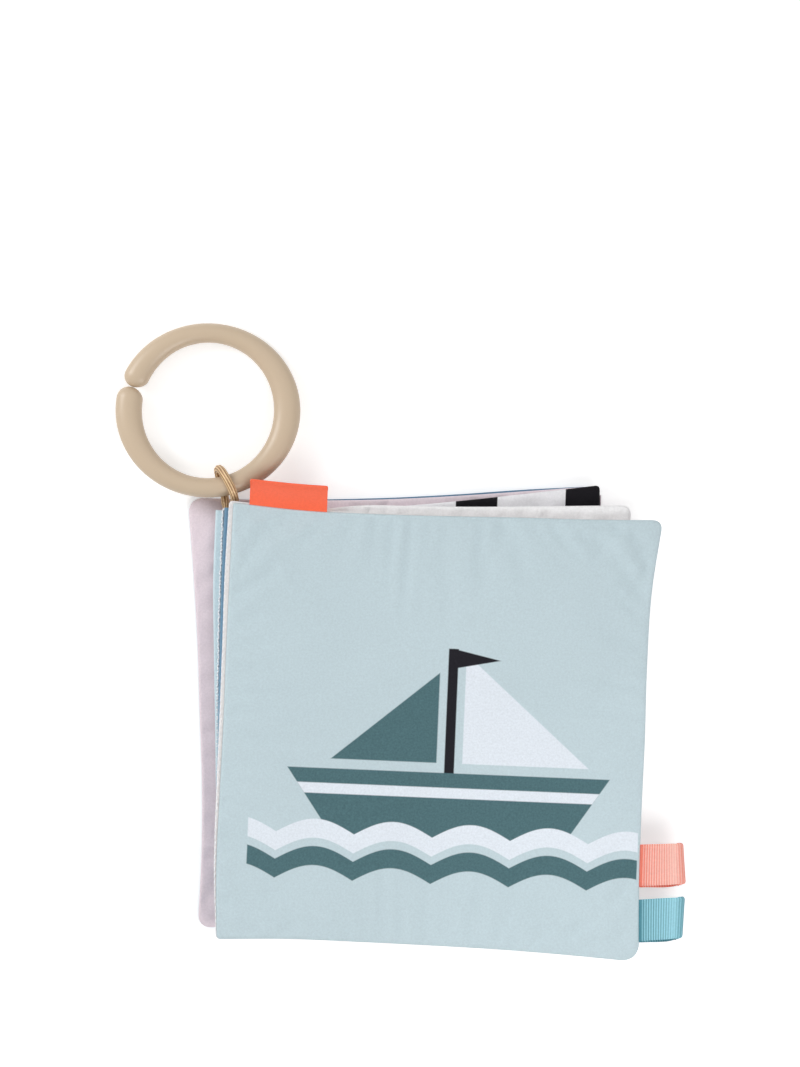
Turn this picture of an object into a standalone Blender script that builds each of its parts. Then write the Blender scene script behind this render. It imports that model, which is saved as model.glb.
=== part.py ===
# A soft fabric book for small children, lying closed on its rear page.
# Metres, +Z up, spine along Y. The origin is the middle of the front cover in plan, on the table.
# Four padded leaves lie on each other: front cover, fleece page, check page and a fold-out rear page.

import math

import bmesh
import bpy
import numpy as np
from mathutils import Matrix, Vector

# Leaves
PAGE_WIDTH = 0.139
PAGE_HEIGHT = 0.141
LEAF_CROWN = 0.0040
LEAF_EDGE = 0.0022
LEAF_SPACE = 0.0003
CROWN_REACH = 0.024
SHOULDER_REACH = 0.010
EDGE_ROUND = 0.0005
CLOTH = 0.0005
FILM = 0.0002
GAP = 0.0003
ALLOWANCE = 0.0030
ALLOWANCE_STEP = 0.0004
BATTING_INSET = 0.0042

# The outlines follow the page's width and height. Each holds its corners, bottom left first and
# anticlockwise, and how far the middle of each side is drawn in: bottom, right, top, left.
COVER_CORNER_SHARES = ((-0.4993, -0.500), (0.4914, -0.509), (0.5058, 0.505), (-0.4993, 0.503))
COVER_LINING_CORNER_SHARES = ((-0.5029, -0.500), (0.4914, -0.509), (0.5058, 0.505), (-0.5079, 0.503))
COVER_BOW_SHARES = (0.0065, 0.0140, 0.0130, 0.0)
FLEECE_CORNER_SHARES = ((-0.4835, -0.4910), (0.4712, -0.4645), (0.4295, 0.5355), (-0.5130, 0.4895))
FLEECE_BOW_SHARES = (0.0080, 0.0100, 0.0050, 0.0)
CHECK_CORNER_SHARES = ((-0.4885, -0.4720), (0.4173, -0.4362), (0.3511, 0.5794), (-0.5302, 0.4895))
CHECK_BOW_SHARES = (0.0080, 0.0060, 0.0160, 0.0)
REAR_CORNER_SHARES = ((-0.5367, -0.4800), (0.4115, -0.4500), (0.3560, 0.5735), (-0.6022, 0.5110))
REAR_BOW_SHARES = (0.0080, 0.0060, 0.0080, 0.0185)
COVER_ROUND = 0.0034
PAGE_ROUND = 0.0020
REAR_ROUND = 0.0050

# Spine
TAPE_CLOTH = 0.0004
TAPE_LEG = 0.0030
TAPE_END = 0.0040
THREAD_DIAMETER = 0.0004
THREAD_PITCH = 0.0034
THREAD_SWING = 0.0005
THREAD_RUN_SHARE = 0.62
HINGE_CLEARANCE = 0.0003

# Label, sewn into the top seam of the cover
LABEL_CLOTH = 0.0004
LABEL_FROM = 0.0055
LABEL_WIDTH = 0.0253
LABEL_LENGTH = 0.0081
LABEL_RISE = 0.0030
SEWN_CLEARANCE = 0.0009

# Ribbon loops, sewn into the fore-edge seam of the cover
RIBBON_CLOTH = 0.0004
RIBBON_WIDTH = 0.0135
RIBBON_LENGTH = 0.0147
RIBBON_OPENING = 0.0036
RIBBON_PINCH = 0.0009
CORAL_RIBBON_SHARE = 0.222
TEAL_RIBBON_SHARE = 0.096

# Clip ring
RING_ACROSS_X = 0.0606
RING_ACROSS_Y = 0.0573
RING_BORE_X = 0.0430
RING_BORE_Y = 0.0444
RING_BAR_HEIGHT = 0.0065
RING_FROM_SPINE = 0.0095
RING_ABOVE_COVER = 0.0299
RING_GAP_DEGREES = 165.0
RING_TIP_GAP = 0.0004
# How far each rounding section lies beyond the bar's end, and how thick it is
RING_CAP_SHARES = ((0.38, 0.925), (0.70, 0.714), (0.92, 0.392))

# Elastic loop, from the top of the spine round the ring's bar
ELASTIC_DIAMETER = 0.0024
ELASTIC_REACH = 0.0124
ELASTIC_END_SHARE = 0.40
ELASTIC_PIVOT_SHARES = (0.0, 0.16, 0.16)
ELASTIC_CROSSING_DEGREES = -74.7

# Fineness of the meshes
SHARP_DEGREES = 40.0
OUTLINE_SIDE_POINTS = 5
RIBBON_STATIONS = 4
LABEL_STATIONS = 5
LEG_STEPS = 5
FOLD_STEPS = 6
RING_STEP_DEGREES = 6.0
RING_SIDES = 10
ELASTIC_STEPS = 3


def clear_scene():
    for item in list(bpy.data.objects):
        bpy.data.objects.remove(item, do_unlink=True)


def material(name, colour, roughness, metallic=0.0):
    made = bpy.data.materials.new(name)
    made.use_nodes = True
    shader = made.node_tree.nodes["Principled BSDF"]
    shader.inputs["Base Color"].default_value = (*colour, 1.0)
    shader.inputs["Roughness"].default_value = roughness
    shader.inputs["Metallic"].default_value = metallic
    return made


def new_object(name, vertices, faces, finish, parent=None):
    """One closed body, with its faces turned outwards and smooth but for its sharp edges."""
    mesh = bpy.data.meshes.new(name)
    mesh.from_pydata([tuple(v) for v in vertices], [], faces)
    work = bmesh.new()
    work.from_mesh(mesh)
    bmesh.ops.recalc_face_normals(work, faces=work.faces)
    work.to_mesh(mesh)
    work.free()
    mesh.materials.append(finish)
    mesh.shade_smooth()
    mesh.set_sharp_from_angle(angle=math.radians(SHARP_DEGREES))
    made = bpy.data.objects.new(name, mesh)
    bpy.context.scene.collection.objects.link(made)
    if parent is not None:
        hang(made, parent)
    return made


def pivot(name, place, parent=None):
    """An empty on a joint's axis, which carries the pieces that turn about it."""
    made = bpy.data.objects.new(name, None)
    made.location = place
    made["place"] = tuple(place)
    bpy.context.scene.collection.objects.link(made)
    if parent is not None:
        hang(made, parent)
    return made


def hang(piece, parent):
    """Parents a piece without moving it."""
    piece.parent = parent
    piece.matrix_parent_inverse = Matrix.Translation(-Vector(parent["place"]))


def lerp(a, b, share):
    return a + (b - a) * share


def smooth_share(share):
    """A share from 0 to 1 that starts and ends level."""
    return share * share * (3 - 2 * share)


# Leaves
class Leaf:
    """A padded leaf: its outline, its seam level, and how thick it is above and below the seam."""

    def __init__(self, corner_shares, bow_shares, corner_round, seam, rise, drop):
        self.corners = [Vector((x * PAGE_WIDTH, y * PAGE_HEIGHT)) for x, y in corner_shares]
        self.bows = [share * PAGE_WIDTH for share in bow_shares]
        self.corner_round = corner_round
        self.seam = seam
        self.rise = rise
        self.drop = drop
        self.centre = sum(self.corners, Vector((0.0, 0.0))) / len(self.corners)
        self.points = self.outline()

    def side(self, index, share):
        """A point on one side, drawn in towards the middle of the leaf."""
        start = self.corners[index]
        end = self.corners[(index + 1) % len(self.corners)]
        along = (end - start).normalized()
        inward = Vector((-along.y, along.x))
        bow = self.bows[index] * 4 * share * (1 - share)
        return start.lerp(end, share) + inward * bow

    def outline(self):
        """The sides with rounded corners between them, each corner of three points."""
        points = []
        count = len(self.corners)
        for index in range(count):
            here = self.corners[index]
            before = self.corners[index - 1]
            after = self.corners[(index + 1) % count]
            enter = 1 - self.corner_round / (here - before).length
            leave = self.corner_round / (after - here).length
            first = self.side(index - 1, enter)
            last = self.side(index, leave)
            points += [first, (first + last) / 4 + here / 2, last]
            until = 1 - self.corner_round / (after - here).length
            for step in range(1, OUTLINE_SIDE_POINTS + 1):
                points.append(self.side(index, lerp(leave, until, step / (OUTLINE_SIDE_POINTS + 1))))
        return points

    def ring(self, inset, level):
        """The outline drawn in by an inset, at one height."""
        scale = 1 - inset / (PAGE_WIDTH / 2)
        flat = [self.centre + (point - self.centre) * scale for point in self.points]
        return [Vector((point.x, point.y, level)) for point in flat]

    def height(self, inset, crown):
        """How far the outer face lies from the seam, at an inset from the edge."""
        edge = LEAF_EDGE / 2
        out = 1 - min(inset / CROWN_REACH, 1.0)
        return edge + (crown - edge) * (1 - out * out)


def domed(name, leaf, upper, lower, finish, parent):
    """A closed body between two stacks of rings. Each stack is (inset, level), outermost first."""
    vertices = []
    faces = []
    count = len(leaf.points)
    sheets = []
    for stack in (upper, lower):
        starts = []
        for inset, level in stack:
            starts.append(len(vertices))
            vertices += leaf.ring(inset, level)
        peak = len(vertices)
        vertices.append(Vector((leaf.centre.x, leaf.centre.y, stack[-1][1])))
        for outer, inner in zip(starts, starts[1:]):
            for i in range(count):
                j = (i + 1) % count
                faces.append((outer + i, outer + j, inner + j, inner + i))
        for i in range(count):
            faces.append((starts[-1] + i, starts[-1] + (i + 1) % count, peak))
        sheets.append(starts[0])
    for i in range(count):
        j = (i + 1) % count
        faces.append((sheets[0] + i, sheets[0] + j, sheets[1] + j, sheets[1] + i))
    return new_object(name, vertices, faces, finish, parent)


def stack_of(leaf, insets, crown, sign, less):
    """Rings that follow the leaf's outer face, brought towards the seam by a thickness."""
    return [(inset, leaf.seam + sign * (leaf.height(inset, crown) - less)) for inset in insets]


def cloth_shell(name, leaf, sign, finish, parent):
    """One cloth face of a leaf, with its seam allowance turned in along the rim."""
    crown = leaf.rise if sign > 0 else leaf.drop
    edge = LEAF_EDGE / 2
    outer = [(0.0, leaf.seam + sign * (edge - EDGE_ROUND))]
    outer += stack_of(leaf, (EDGE_ROUND, BATTING_INSET, SHOULDER_REACH, CROWN_REACH), crown, sign, 0.0)
    turned_in = leaf.seam + sign * GAP / 2
    inner = [(0.0, turned_in), (ALLOWANCE, turned_in)]
    insets = (ALLOWANCE + ALLOWANCE_STEP, BATTING_INSET, SHOULDER_REACH, CROWN_REACH)
    inner += stack_of(leaf, insets, crown, sign, CLOTH)
    return domed(name, leaf, outer, inner, finish, parent)


def filling(name, leaf, top_less, bottom_less, finish, parent):
    """Batting that fills a leaf, inside its seam allowance."""
    insets = (BATTING_INSET, SHOULDER_REACH, CROWN_REACH)
    upper = stack_of(leaf, insets, leaf.rise, 1, top_less)
    lower = stack_of(leaf, insets, leaf.drop, -1, bottom_less)
    return domed(name, leaf, upper, lower, finish, parent)


def film_sheet(name, leaf, finish, parent):
    """Thin crinkle film between the upper cloth and the batting."""
    insets = (BATTING_INSET, SHOULDER_REACH, CROWN_REACH)
    upper = stack_of(leaf, insets, leaf.rise, 1, CLOTH + GAP)
    lower = stack_of(leaf, insets, leaf.rise, 1, CLOTH + GAP + FILM)
    return domed(name, leaf, upper, lower, finish, parent)


def build_leaf(leaf, names, finishes, parent, lining=None):
    """A leaf's pieces. The names are of its face, back, batting and film, and the film may be None."""
    face, back, batting, film = names
    face_finish, back_finish = finishes
    cloth_shell(face, leaf, 1, face_finish, parent)
    cloth_shell(back, lining or leaf, -1, back_finish, parent)
    above = CLOTH + GAP
    if film is not None:
        film_sheet(film, leaf, FILM_FINISH, parent)
        above += FILM + GAP
    filling(batting, leaf, above, CLOTH + GAP, BATTING_FINISH, parent)


# Folded strips
def folded_strip(name, stations, sides, finish, parent):
    """A folded strip of cloth. A station is (place, out), and its two sides are lines of (out, up)."""
    vertices = []
    for place, out in stations:
        for line in sides:
            vertices += [place + out * float(o) + Vector((0.0, 0.0, float(z))) for o, z in line]
    count = len(sides[0])
    ring = 2 * count
    around = list(range(count)) + list(range(ring - 1, count - 1, -1))
    faces = []
    for low in range(0, (len(stations) - 1) * ring, ring):
        high = low + ring
        for a, b in zip(around, around[1:] + around[:1]):
            faces.append((low + a, low + b, high + b, high + a))
    for start in (0, (len(stations) - 1) * ring):
        for i in range(start, start + count - 1):
            faces.append((i, i + 1, i + count + 1, i + count))
    return new_object(name, vertices, faces, finish, parent)


def loop_path(length, opening, pinch, rise):
    """The middle line of a folded ribbon, from its lower end round the fold to its upper end."""
    fold = opening / 2
    leg = length - fold
    lower = []
    for step in range(LEG_STEPS):
        share = step / LEG_STEPS
        lower.append((leg * share, -lerp(pinch / 2, fold, smooth_share(share))))
    turn = []
    for step in range(FOLD_STEPS + 1):
        angle = math.pi * (step / FOLD_STEPS - 1 / 2)
        turn.append((leg + fold * math.cos(angle), fold * math.sin(angle)))
    upper = [(out, -up) for out, up in reversed(lower)]
    return [(out, up + rise * (out / length) ** 2) for out, up in lower + turn + upper]


def thickened(path, cloth):
    """The two sides of a cloth whose middle line is the path."""
    centre = np.array(path)
    tangent = np.gradient(centre, axis=0)
    tangent /= np.linalg.norm(tangent, axis=1)[:, None]
    normal = np.stack([-tangent[:, 1], tangent[:, 0]], axis=1)
    return (centre + normal * cloth / 2, centre - normal * cloth / 2)


def fore_edge_ribbon(name, cover, share, finish, parent):
    """A ribbon loop on the fore-edge of the cover, centred at a share of that edge."""
    middle = cover.side(1, share)
    edge_length = (cover.corners[2] - cover.corners[1]).length
    stations = []
    for step in range(RIBBON_STATIONS):
        across = lerp(-RIBBON_WIDTH / 2, RIBBON_WIDTH / 2, step / (RIBBON_STATIONS - 1))
        edge = cover.side(1, share + across / edge_length)
        place = Vector((edge.x + SEWN_CLEARANCE, middle.y + across, cover.seam))
        stations.append((place, Vector((1.0, 0.0, 0.0))))
    path = loop_path(RIBBON_LENGTH, RIBBON_OPENING, RIBBON_PINCH, 0.0)
    folded_strip(name, stations, thickened(path, RIBBON_CLOTH), finish, parent)


def label_ends(cover):
    """Where the label begins and ends on the top edge of the cover, from the spine."""
    edge_length = (cover.corners[3] - cover.corners[2]).length
    first = cover.side(2, 1 - LABEL_FROM / edge_length)
    last = cover.side(2, 1 - (LABEL_FROM + LABEL_WIDTH) / edge_length)
    return first, last


def top_label(name, cover, finish, parent):
    """A folded label on the top edge of the cover, near the spine, which curls up a little."""
    first, last = label_ends(cover)
    stations = []
    for step in range(LABEL_STATIONS):
        edge = first.lerp(last, step / (LABEL_STATIONS - 1))
        place = Vector((edge.x, edge.y + SEWN_CLEARANCE, cover.seam))
        stations.append((place, Vector((0.0, 1.0, 0.0))))
    path = loop_path(LABEL_LENGTH, RIBBON_PINCH, RIBBON_PINCH, LABEL_RISE)
    folded_strip(name, stations, thickened(path, LABEL_CLOTH), finish, parent)


# Spine
def spine_line(leaf):
    """The spine edge of a leaf: its top, the way down it, and the way out of the leaf."""
    top = leaf.corners[3]
    down = (leaf.corners[0] - top).normalized()
    return top, down, Vector((down.y, -down.x))


def spine_tape(name, leaf, finish, parent):
    """A tape folded over the spine edge of a leaf, along the straight part of that edge."""
    top, down, outward = spine_line(leaf)
    edge = LEAF_EDGE / 2
    leg = leaf.height(TAPE_LEG, leaf.rise)
    sides = []
    for away in (GAP, GAP + TAPE_CLOTH):
        upper = [(-TAPE_LEG, leg + away), (0.0, edge + away), (away, edge)]
        sides.append(upper + [(out, -up) for out, up in reversed(upper)])
    length = (leaf.corners[0] - top).length
    stations = []
    for along in (TAPE_END, length - TAPE_END):
        place = top + down * along
        stations.append((place.to_3d() + Vector((0.0, 0.0, leaf.seam)), outward.to_3d()))
    return folded_strip(name, stations, sides, finish, parent)


def tube(name, points, diameter, finish, parent, end_share=1.0, resolution=2):
    """A round tube through points, whose ends may be narrower."""
    curve = bpy.data.curves.new(name, "CURVE")
    curve.dimensions = "3D"
    curve.bevel_depth = diameter / 2
    curve.bevel_resolution = resolution
    curve.use_fill_caps = True
    spline = curve.splines.new("POLY")
    spline.points.add(len(points) - 1)
    for target, point in zip(spline.points, points):
        target.co = (*point, 1.0)
        target.radius = 1.0
    for end in (0, -1):
        spline.points[end].radius = end_share
    curve.materials.append(finish)
    made = bpy.data.objects.new(name, curve)
    bpy.context.scene.collection.objects.link(made)
    hang(made, parent)
    return made


def spine_thread(name, lower, upper, finish, parent):
    """A zigzag thread on the lower leaf's tape, beside the edge of the leaf above it."""
    top, down, outward = spine_line(upper)
    run = (upper.corners[0] - top).length * THREAD_RUN_SHARE
    near = GAP + TAPE_CLOTH + GAP + THREAD_DIAMETER / 2
    level = lower.seam + LEAF_EDGE / 2 + near
    points = []
    for step in range(int(run / THREAD_PITCH) * 2):
        out = near + THREAD_SWING * (step % 2)
        at = top + down * (TAPE_END + THREAD_PITCH * (step + 1) / 2) + outward * out
        points.append((at.x, at.y, level))
    return tube(name, points, THREAD_DIAMETER, finish, parent, resolution=0)


# Clip ring
def ellipse_radius(across_x, across_y, angle):
    x = math.cos(angle) / (across_x / 2)
    y = math.sin(angle) / (across_y / 2)
    return 1 / math.hypot(x, y)


def ring_section(angle, thick=1.0):
    """A section of the bar: its angle, middle radius, half width and half height."""
    outer = ellipse_radius(RING_ACROSS_X, RING_ACROSS_Y, angle)
    inner = ellipse_radius(RING_BORE_X, RING_BORE_Y, angle)
    return angle, (outer + inner) / 2, (outer - inner) / 2 * thick, RING_BAR_HEIGHT / 2 * thick


def ring_cap(angle, turn):
    """The sections that round off an end of the bar, from the bar outwards."""
    _, middle, half, _ = ring_section(angle)
    return [ring_section(angle + turn * reach * half / middle, thick) for reach, thick in RING_CAP_SHARES]


def clip_ring(name, matrix, finish, parent):
    """An open ring, thicker at its sides, whose two rounded ends nearly touch."""
    gap = math.radians(RING_GAP_DEGREES)
    _, middle, half, _ = ring_section(gap)
    ends = (RING_TIP_GAP / 2 + RING_CAP_SHARES[-1][0] * half) / middle
    turn = 2 * (math.pi - ends)
    steps = round(math.degrees(turn) / RING_STEP_DEGREES)
    bar = [ring_section(gap - ends - turn * i / steps) for i in range(steps + 1)]
    sections = ring_cap(bar[0][0], 1)[::-1] + bar + ring_cap(bar[-1][0], -1)
    vertices = []
    for angle, middle, half, high in sections:
        for side in range(RING_SIDES):
            phase = 2 * math.pi * side / RING_SIDES
            reach = middle + half * math.cos(phase)
            vertices.append((reach * math.cos(angle), reach * math.sin(angle), high * math.sin(phase)))
    last = (len(sections) - 1) * RING_SIDES
    faces = [tuple(range(RING_SIDES)), tuple(range(last, last + RING_SIDES))]
    for low in range(0, last, RING_SIDES):
        for side in range(RING_SIDES):
            after = (side + 1) % RING_SIDES
            high = low + RING_SIDES
            faces.append((low + side, low + after, high + after, high + side))
    made = new_object(name, vertices, faces, finish, parent)
    made.matrix_basis = matrix
    return made


# Elastic loop
def smooth_through(points, per_span):
    """Points on a smooth curve through the given ones."""
    ends = [points[0] * 2 - points[1]] + points + [points[-1] * 2 - points[-2]]
    path = []
    for i in range(1, len(ends) - 2):
        a, b, c, d = ends[i - 1 : i + 3]
        for step in range(per_span):
            t = step / per_span
            path.append(
                (
                    b * 2
                    + (c - a) * t
                    + (a * 2 - b * 5 + c * 4 - d) * t**2
                    + (b * 3 - a - c * 3 + d) * t**3
                )
                / 2
            )
    path.append(points[-1])
    return path


# The elastic's route from the spine, over the ring's bar, round it and back under it, as shares of
# its reach: to the side, away from the spine, and up.
ELASTIC_ROUTE_SHARES = (
    (0.02, 0.00, 0.00),
    (0.05, 0.09, 0.12),
    (0.04, 0.17, 0.30),
    (-0.06, 0.30, 0.48),
    (-0.20, 0.48, 0.555),
    (-0.32, 0.73, 0.50),
    (-0.415, 0.915, 0.33),
    (-0.445, 0.985, 0.12),
    (-0.41, 0.92, -0.10),
    (-0.33, 0.73, -0.215),
    (-0.25, 0.48, -0.235),
    (-0.19, 0.25, -0.19),
    (-0.17, 0.09, -0.07),
    (-0.17, 0.00, 0.00),
)


clear_scene()

COVER_BLUE = material("cover_blue", (0.52, 0.64, 0.69), 0.85)
LINING_CREAM = material("lining_cream", (0.84, 0.81, 0.80), 0.9)
FLEECE_WHITE = material("fleece_white", (0.75, 0.74, 0.74), 0.95)
CHECK_WHITE = material("check_white", (0.78, 0.78, 0.79), 0.9)
LILAC_CLOTH = material("lilac_cloth", (0.60, 0.52, 0.58), 0.9)
DUSTY_BLUE_CLOTH = material("dusty_blue_cloth", (0.17, 0.31, 0.45), 0.9)
LIGHT_BLUE_TAPE = material("light_blue_tape", (0.50, 0.62, 0.70), 0.85)
THREAD_WHITE = material("thread_white", (0.85, 0.85, 0.86), 0.8)
BATTING_FINISH = material("batting_white", (0.80, 0.80, 0.78), 1.0)
FILM_FINISH = material("crinkle_film", (0.75, 0.77, 0.80), 0.3)
LABEL_CORAL = material("label_coral", (1.0, 0.17, 0.08), 0.5)
RIBBON_CORAL = material("ribbon_coral", (0.95, 0.28, 0.20), 0.7)
RIBBON_TEAL = material("ribbon_teal", (0.18, 0.43, 0.52), 0.7)
ELASTIC_GOLD = material("elastic_gold", (0.55, 0.38, 0.17), 0.45, 0.6)
RING_BEIGE = material("ring_beige", (0.60, 0.49, 0.36), 0.5)

# Levels of the four leaves, from the table up
half_crown = LEAF_CROWN / 2
leaf_pitch = LEAF_CROWN + LEAF_SPACE
rear_seam = LEAF_EDGE / 2
check_seam = leaf_pitch + half_crown
fleece_seam = check_seam + leaf_pitch
cover_seam = fleece_seam + leaf_pitch

cover = Leaf(COVER_CORNER_SHARES, COVER_BOW_SHARES, COVER_ROUND, cover_seam, half_crown, half_crown)
cover_back = Leaf(
    COVER_LINING_CORNER_SHARES, COVER_BOW_SHARES, COVER_ROUND, cover_seam, half_crown, half_crown
)
fleece = Leaf(FLEECE_CORNER_SHARES, FLEECE_BOW_SHARES, PAGE_ROUND, fleece_seam, half_crown, half_crown)
check = Leaf(CHECK_CORNER_SHARES, CHECK_BOW_SHARES, PAGE_ROUND, check_seam, half_crown, half_crown)
rear = Leaf(
    REAR_CORNER_SHARES, REAR_BOW_SHARES, REAR_ROUND, rear_seam, LEAF_CROWN - rear_seam, rear_seam
)

# Joint axes. Each spine hinge lies just outside the edge of the leaf below it, level with the gap
# between the two leaves. The fold of the rear page lies just outside the check page's fore-edge.
tape_out = GAP + TAPE_CLOTH + HINGE_CLEARANCE
cover_axis = Vector((fleece.corners[3].x - tape_out, 0.0, cover_seam - leaf_pitch / 2))
page_axis = Vector((check.corners[3].x - tape_out, 0.0, fleece_seam - leaf_pitch / 2))
fold_low = check.corners[1]
fold_high = check.corners[2]
fold_out = Vector((HINGE_CLEARANCE, 0.0))
fold_middle = (fold_low + fold_high) / 2 + fold_out
fold_axis = Vector((fold_middle.x, fold_middle.y, LEAF_CROWN + LEAF_SPACE / 2))

root = pivot("bound_page_pivot", (0.0, 0.0, 0.0))
page_pivot = pivot("page_turn_pivot", page_axis, root)
cover_pivot = pivot("cover_turn_pivot", cover_axis, page_pivot)
rear_pivot = pivot("rear_page_unfold_pivot", fold_axis, root)

build_leaf(
    cover,
    ("front_cover_face", "front_cover_lining", "front_cover_batting", "front_cover_crinkle_film"),
    (COVER_BLUE, LINING_CREAM),
    cover_pivot,
    lining=cover_back,
)
build_leaf(
    fleece,
    ("fleece_page_face", "fleece_page_back", "fleece_page_batting", None),
    (FLEECE_WHITE, FLEECE_WHITE),
    page_pivot,
)
build_leaf(
    check,
    ("check_page_face", "check_page_back", "check_page_batting", "check_page_crinkle_film"),
    (CHECK_WHITE, CHECK_WHITE),
    root,
)
build_leaf(
    rear,
    ("rear_page_face", "rear_page_back", "rear_page_batting", "rear_page_crinkle_film"),
    (LILAC_CLOTH, DUSTY_BLUE_CLOTH),
    rear_pivot,
)

spine_tape("spine_tape_upper", fleece, DUSTY_BLUE_CLOTH, page_pivot)
spine_tape("spine_tape_lower", check, LIGHT_BLUE_TAPE, root)
spine_thread("spine_stitching", check, fleece, THREAD_WHITE, root)

# The elastic starts on the top edge of the check page, at the spine, level with its seam.
elastic_base = Vector(
    (
        check.corners[3].x + ALLOWANCE + GAP + TAPE_CLOTH + ELASTIC_DIAMETER / 2,
        check.corners[3].y + 2 * GAP,
        check_seam,
    )
)
loop_axis = elastic_base + Vector(ELASTIC_PIVOT_SHARES) * ELASTIC_REACH
loop_pivot = pivot("loop_lift_pivot", loop_axis, root)
elastic_points = [
    elastic_base + Vector(shares) * ELASTIC_REACH for shares in ELASTIC_ROUTE_SHARES
]
tube(
    "elastic_loop",
    smooth_through(elastic_points, ELASTIC_STEPS),
    ELASTIC_DIAMETER,
    ELASTIC_GOLD,
    loop_pivot,
    end_share=ELASTIC_END_SHARE,
)

# The ring lies with its far side on the table and its near side on the elastic, which lies on the
# rear page, so it leans a little.
crossing = math.radians(ELASTIC_CROSSING_DEGREES)
toward = Vector((math.cos(crossing), math.sin(crossing), 0.0))
outer_radius = ellipse_radius(RING_ACROSS_X, RING_ACROSS_Y, crossing)
bore_radius = ellipse_radius(RING_BORE_X, RING_BORE_Y, crossing)
bar_radius = (outer_radius + bore_radius) / 2
near_level = LEAF_EDGE + GAP + ELASTIC_DIAMETER + GAP + RING_BAR_HEIGHT / 2
far_level = RING_BAR_HEIGHT / 2
lean = math.asin((near_level - far_level) / (2 * bar_radius))
ring_centre = Vector(
    (
        cover.corners[3].x - RING_FROM_SPINE,
        cover.corners[3].y + RING_ABOVE_COVER,
        (near_level + far_level) / 2,
    )
)
lean_axis = Vector((0.0, 0.0, 1.0)).cross(toward)
ring_matrix = Matrix.Translation(ring_centre) @ Matrix.Rotation(-lean, 4, lean_axis)
ring_pivot = pivot("ring_slide_pivot", ring_centre, loop_pivot)
clip_ring("clip_ring", ring_matrix, RING_BEIGE, ring_pivot)

label_first, label_last = label_ends(cover)
label_place = (label_first + label_last) / 2
label_axis = Vector((label_place.x, label_place.y + SEWN_CLEARANCE, cover_seam))
label_pivot = pivot("label_pivot", label_axis, cover_pivot)
top_label("label_tab", cover, LABEL_CORAL, label_pivot)

joint_places = [
    ("cover_turn axis", cover_axis),
    ("page_turn axis", page_axis),
    ("rear_page_unfold axis", fold_axis),
    ("rear_page_unfold direction", (fold_high - fold_low).normalized().to_3d()),
    ("loop_lift axis", loop_axis),
    ("ring_slide axis", ring_centre),
    ("ring_slide direction", ring_matrix.to_3x3() @ Vector((0.0, 0.0, 1.0))),
    ("label_flap axis", label_axis),
    ("label_flap direction", (label_last - label_first).normalized().to_3d()),
]
for ribbon_name, ribbon_share, ribbon_finish in (
    ("coral_ribbon_loop", CORAL_RIBBON_SHARE, RIBBON_CORAL),
    ("teal_ribbon_loop", TEAL_RIBBON_SHARE, RIBBON_TEAL),
):
    ribbon_place = cover.side(1, ribbon_share)
    ribbon_axis = Vector((ribbon_place.x + SEWN_CLEARANCE, ribbon_place.y, cover_seam))
    ribbon_pivot = pivot(ribbon_name + "_pivot", ribbon_axis, cover_pivot)
    joint_places.append((ribbon_name + " axis", ribbon_axis))
    fore_edge_ribbon(ribbon_name, cover, ribbon_share, ribbon_finish, ribbon_pivot)

for title, place in joint_places:
    print(title, ", ".join(f"{value:.6f}" for value in place))
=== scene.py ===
# The looks of a soft fabric book: padded leaves, spine, ribbon loops, label, elastic loop and ring.
# Metres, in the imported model's frame: +Z up out of the cover, +Y along the spine, +X to the fore-edge.
# The leaves, from the table up, are the fold-out rear page, the check page, the fleece page and the
# front cover.

import math
import random

import bpy
import numpy as np
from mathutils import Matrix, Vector, kdtree, noise


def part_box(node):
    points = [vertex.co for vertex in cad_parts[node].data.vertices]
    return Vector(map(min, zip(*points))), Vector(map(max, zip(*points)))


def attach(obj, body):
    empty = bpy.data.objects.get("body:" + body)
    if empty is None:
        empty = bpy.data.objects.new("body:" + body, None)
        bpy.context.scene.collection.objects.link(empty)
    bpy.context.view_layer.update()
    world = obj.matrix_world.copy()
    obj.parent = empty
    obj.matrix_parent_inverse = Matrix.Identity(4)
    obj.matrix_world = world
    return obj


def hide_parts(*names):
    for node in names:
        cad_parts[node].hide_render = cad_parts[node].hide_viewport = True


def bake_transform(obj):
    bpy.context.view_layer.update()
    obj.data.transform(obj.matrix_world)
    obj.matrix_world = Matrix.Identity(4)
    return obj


# Camera, straight above the book, which lies turned a little in the photograph
VIEW_CENTRE = (-0.01455, 0.06326)
VIEW_HEIGHT = 0.3474
VIEW_TURN_DEGREES = 2.4
VIEW_LENS = 300.0
VIEW_REACH = 20.0
SENSOR = 36.0

# Light: lamps as (place, size, watts), all aimed at the middle of the book
LAMPS = (
    ((0.20, -0.26, 0.44), 0.26, 1.10),
    ((-0.75, 0.45, 0.45), 0.36, 3.6),
    ((0.00, 0.55, 1.00), 0.80, 0.7),
)
WORLD_STRENGTH = 0.525
FLOOR_SIZE = 6.0
FLOOR_LIFT = 0.0002
FLOOR_WHITE = (0.93, 0.93, 0.93)
FLOOR_GLOW = 0.36
FLOOR_GRAIN = 0.002
FLOOR_DEPTH = 0.00002

# Leaves
RIM_ROUND = 0.0007
RIM_HEIGHT = 0.0010
CROWN_REACH = 0.024
TURNED_IN = 0.0030
TURNED_IN_GAP = 0.00015
LUMP_SIZE = 0.022
LUMP_HEIGHT = 0.00030
CLOTH = 0.0005
FILM = 0.0002
GAP = 0.0003
INNER_INSET = 0.0042

# Spine
TAPE_CLOTH = 0.0004
TAPE_LEG = 0.0030
WEB_CLOTH = 0.0003
STITCH_THICKNESS = 0.00064

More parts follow.
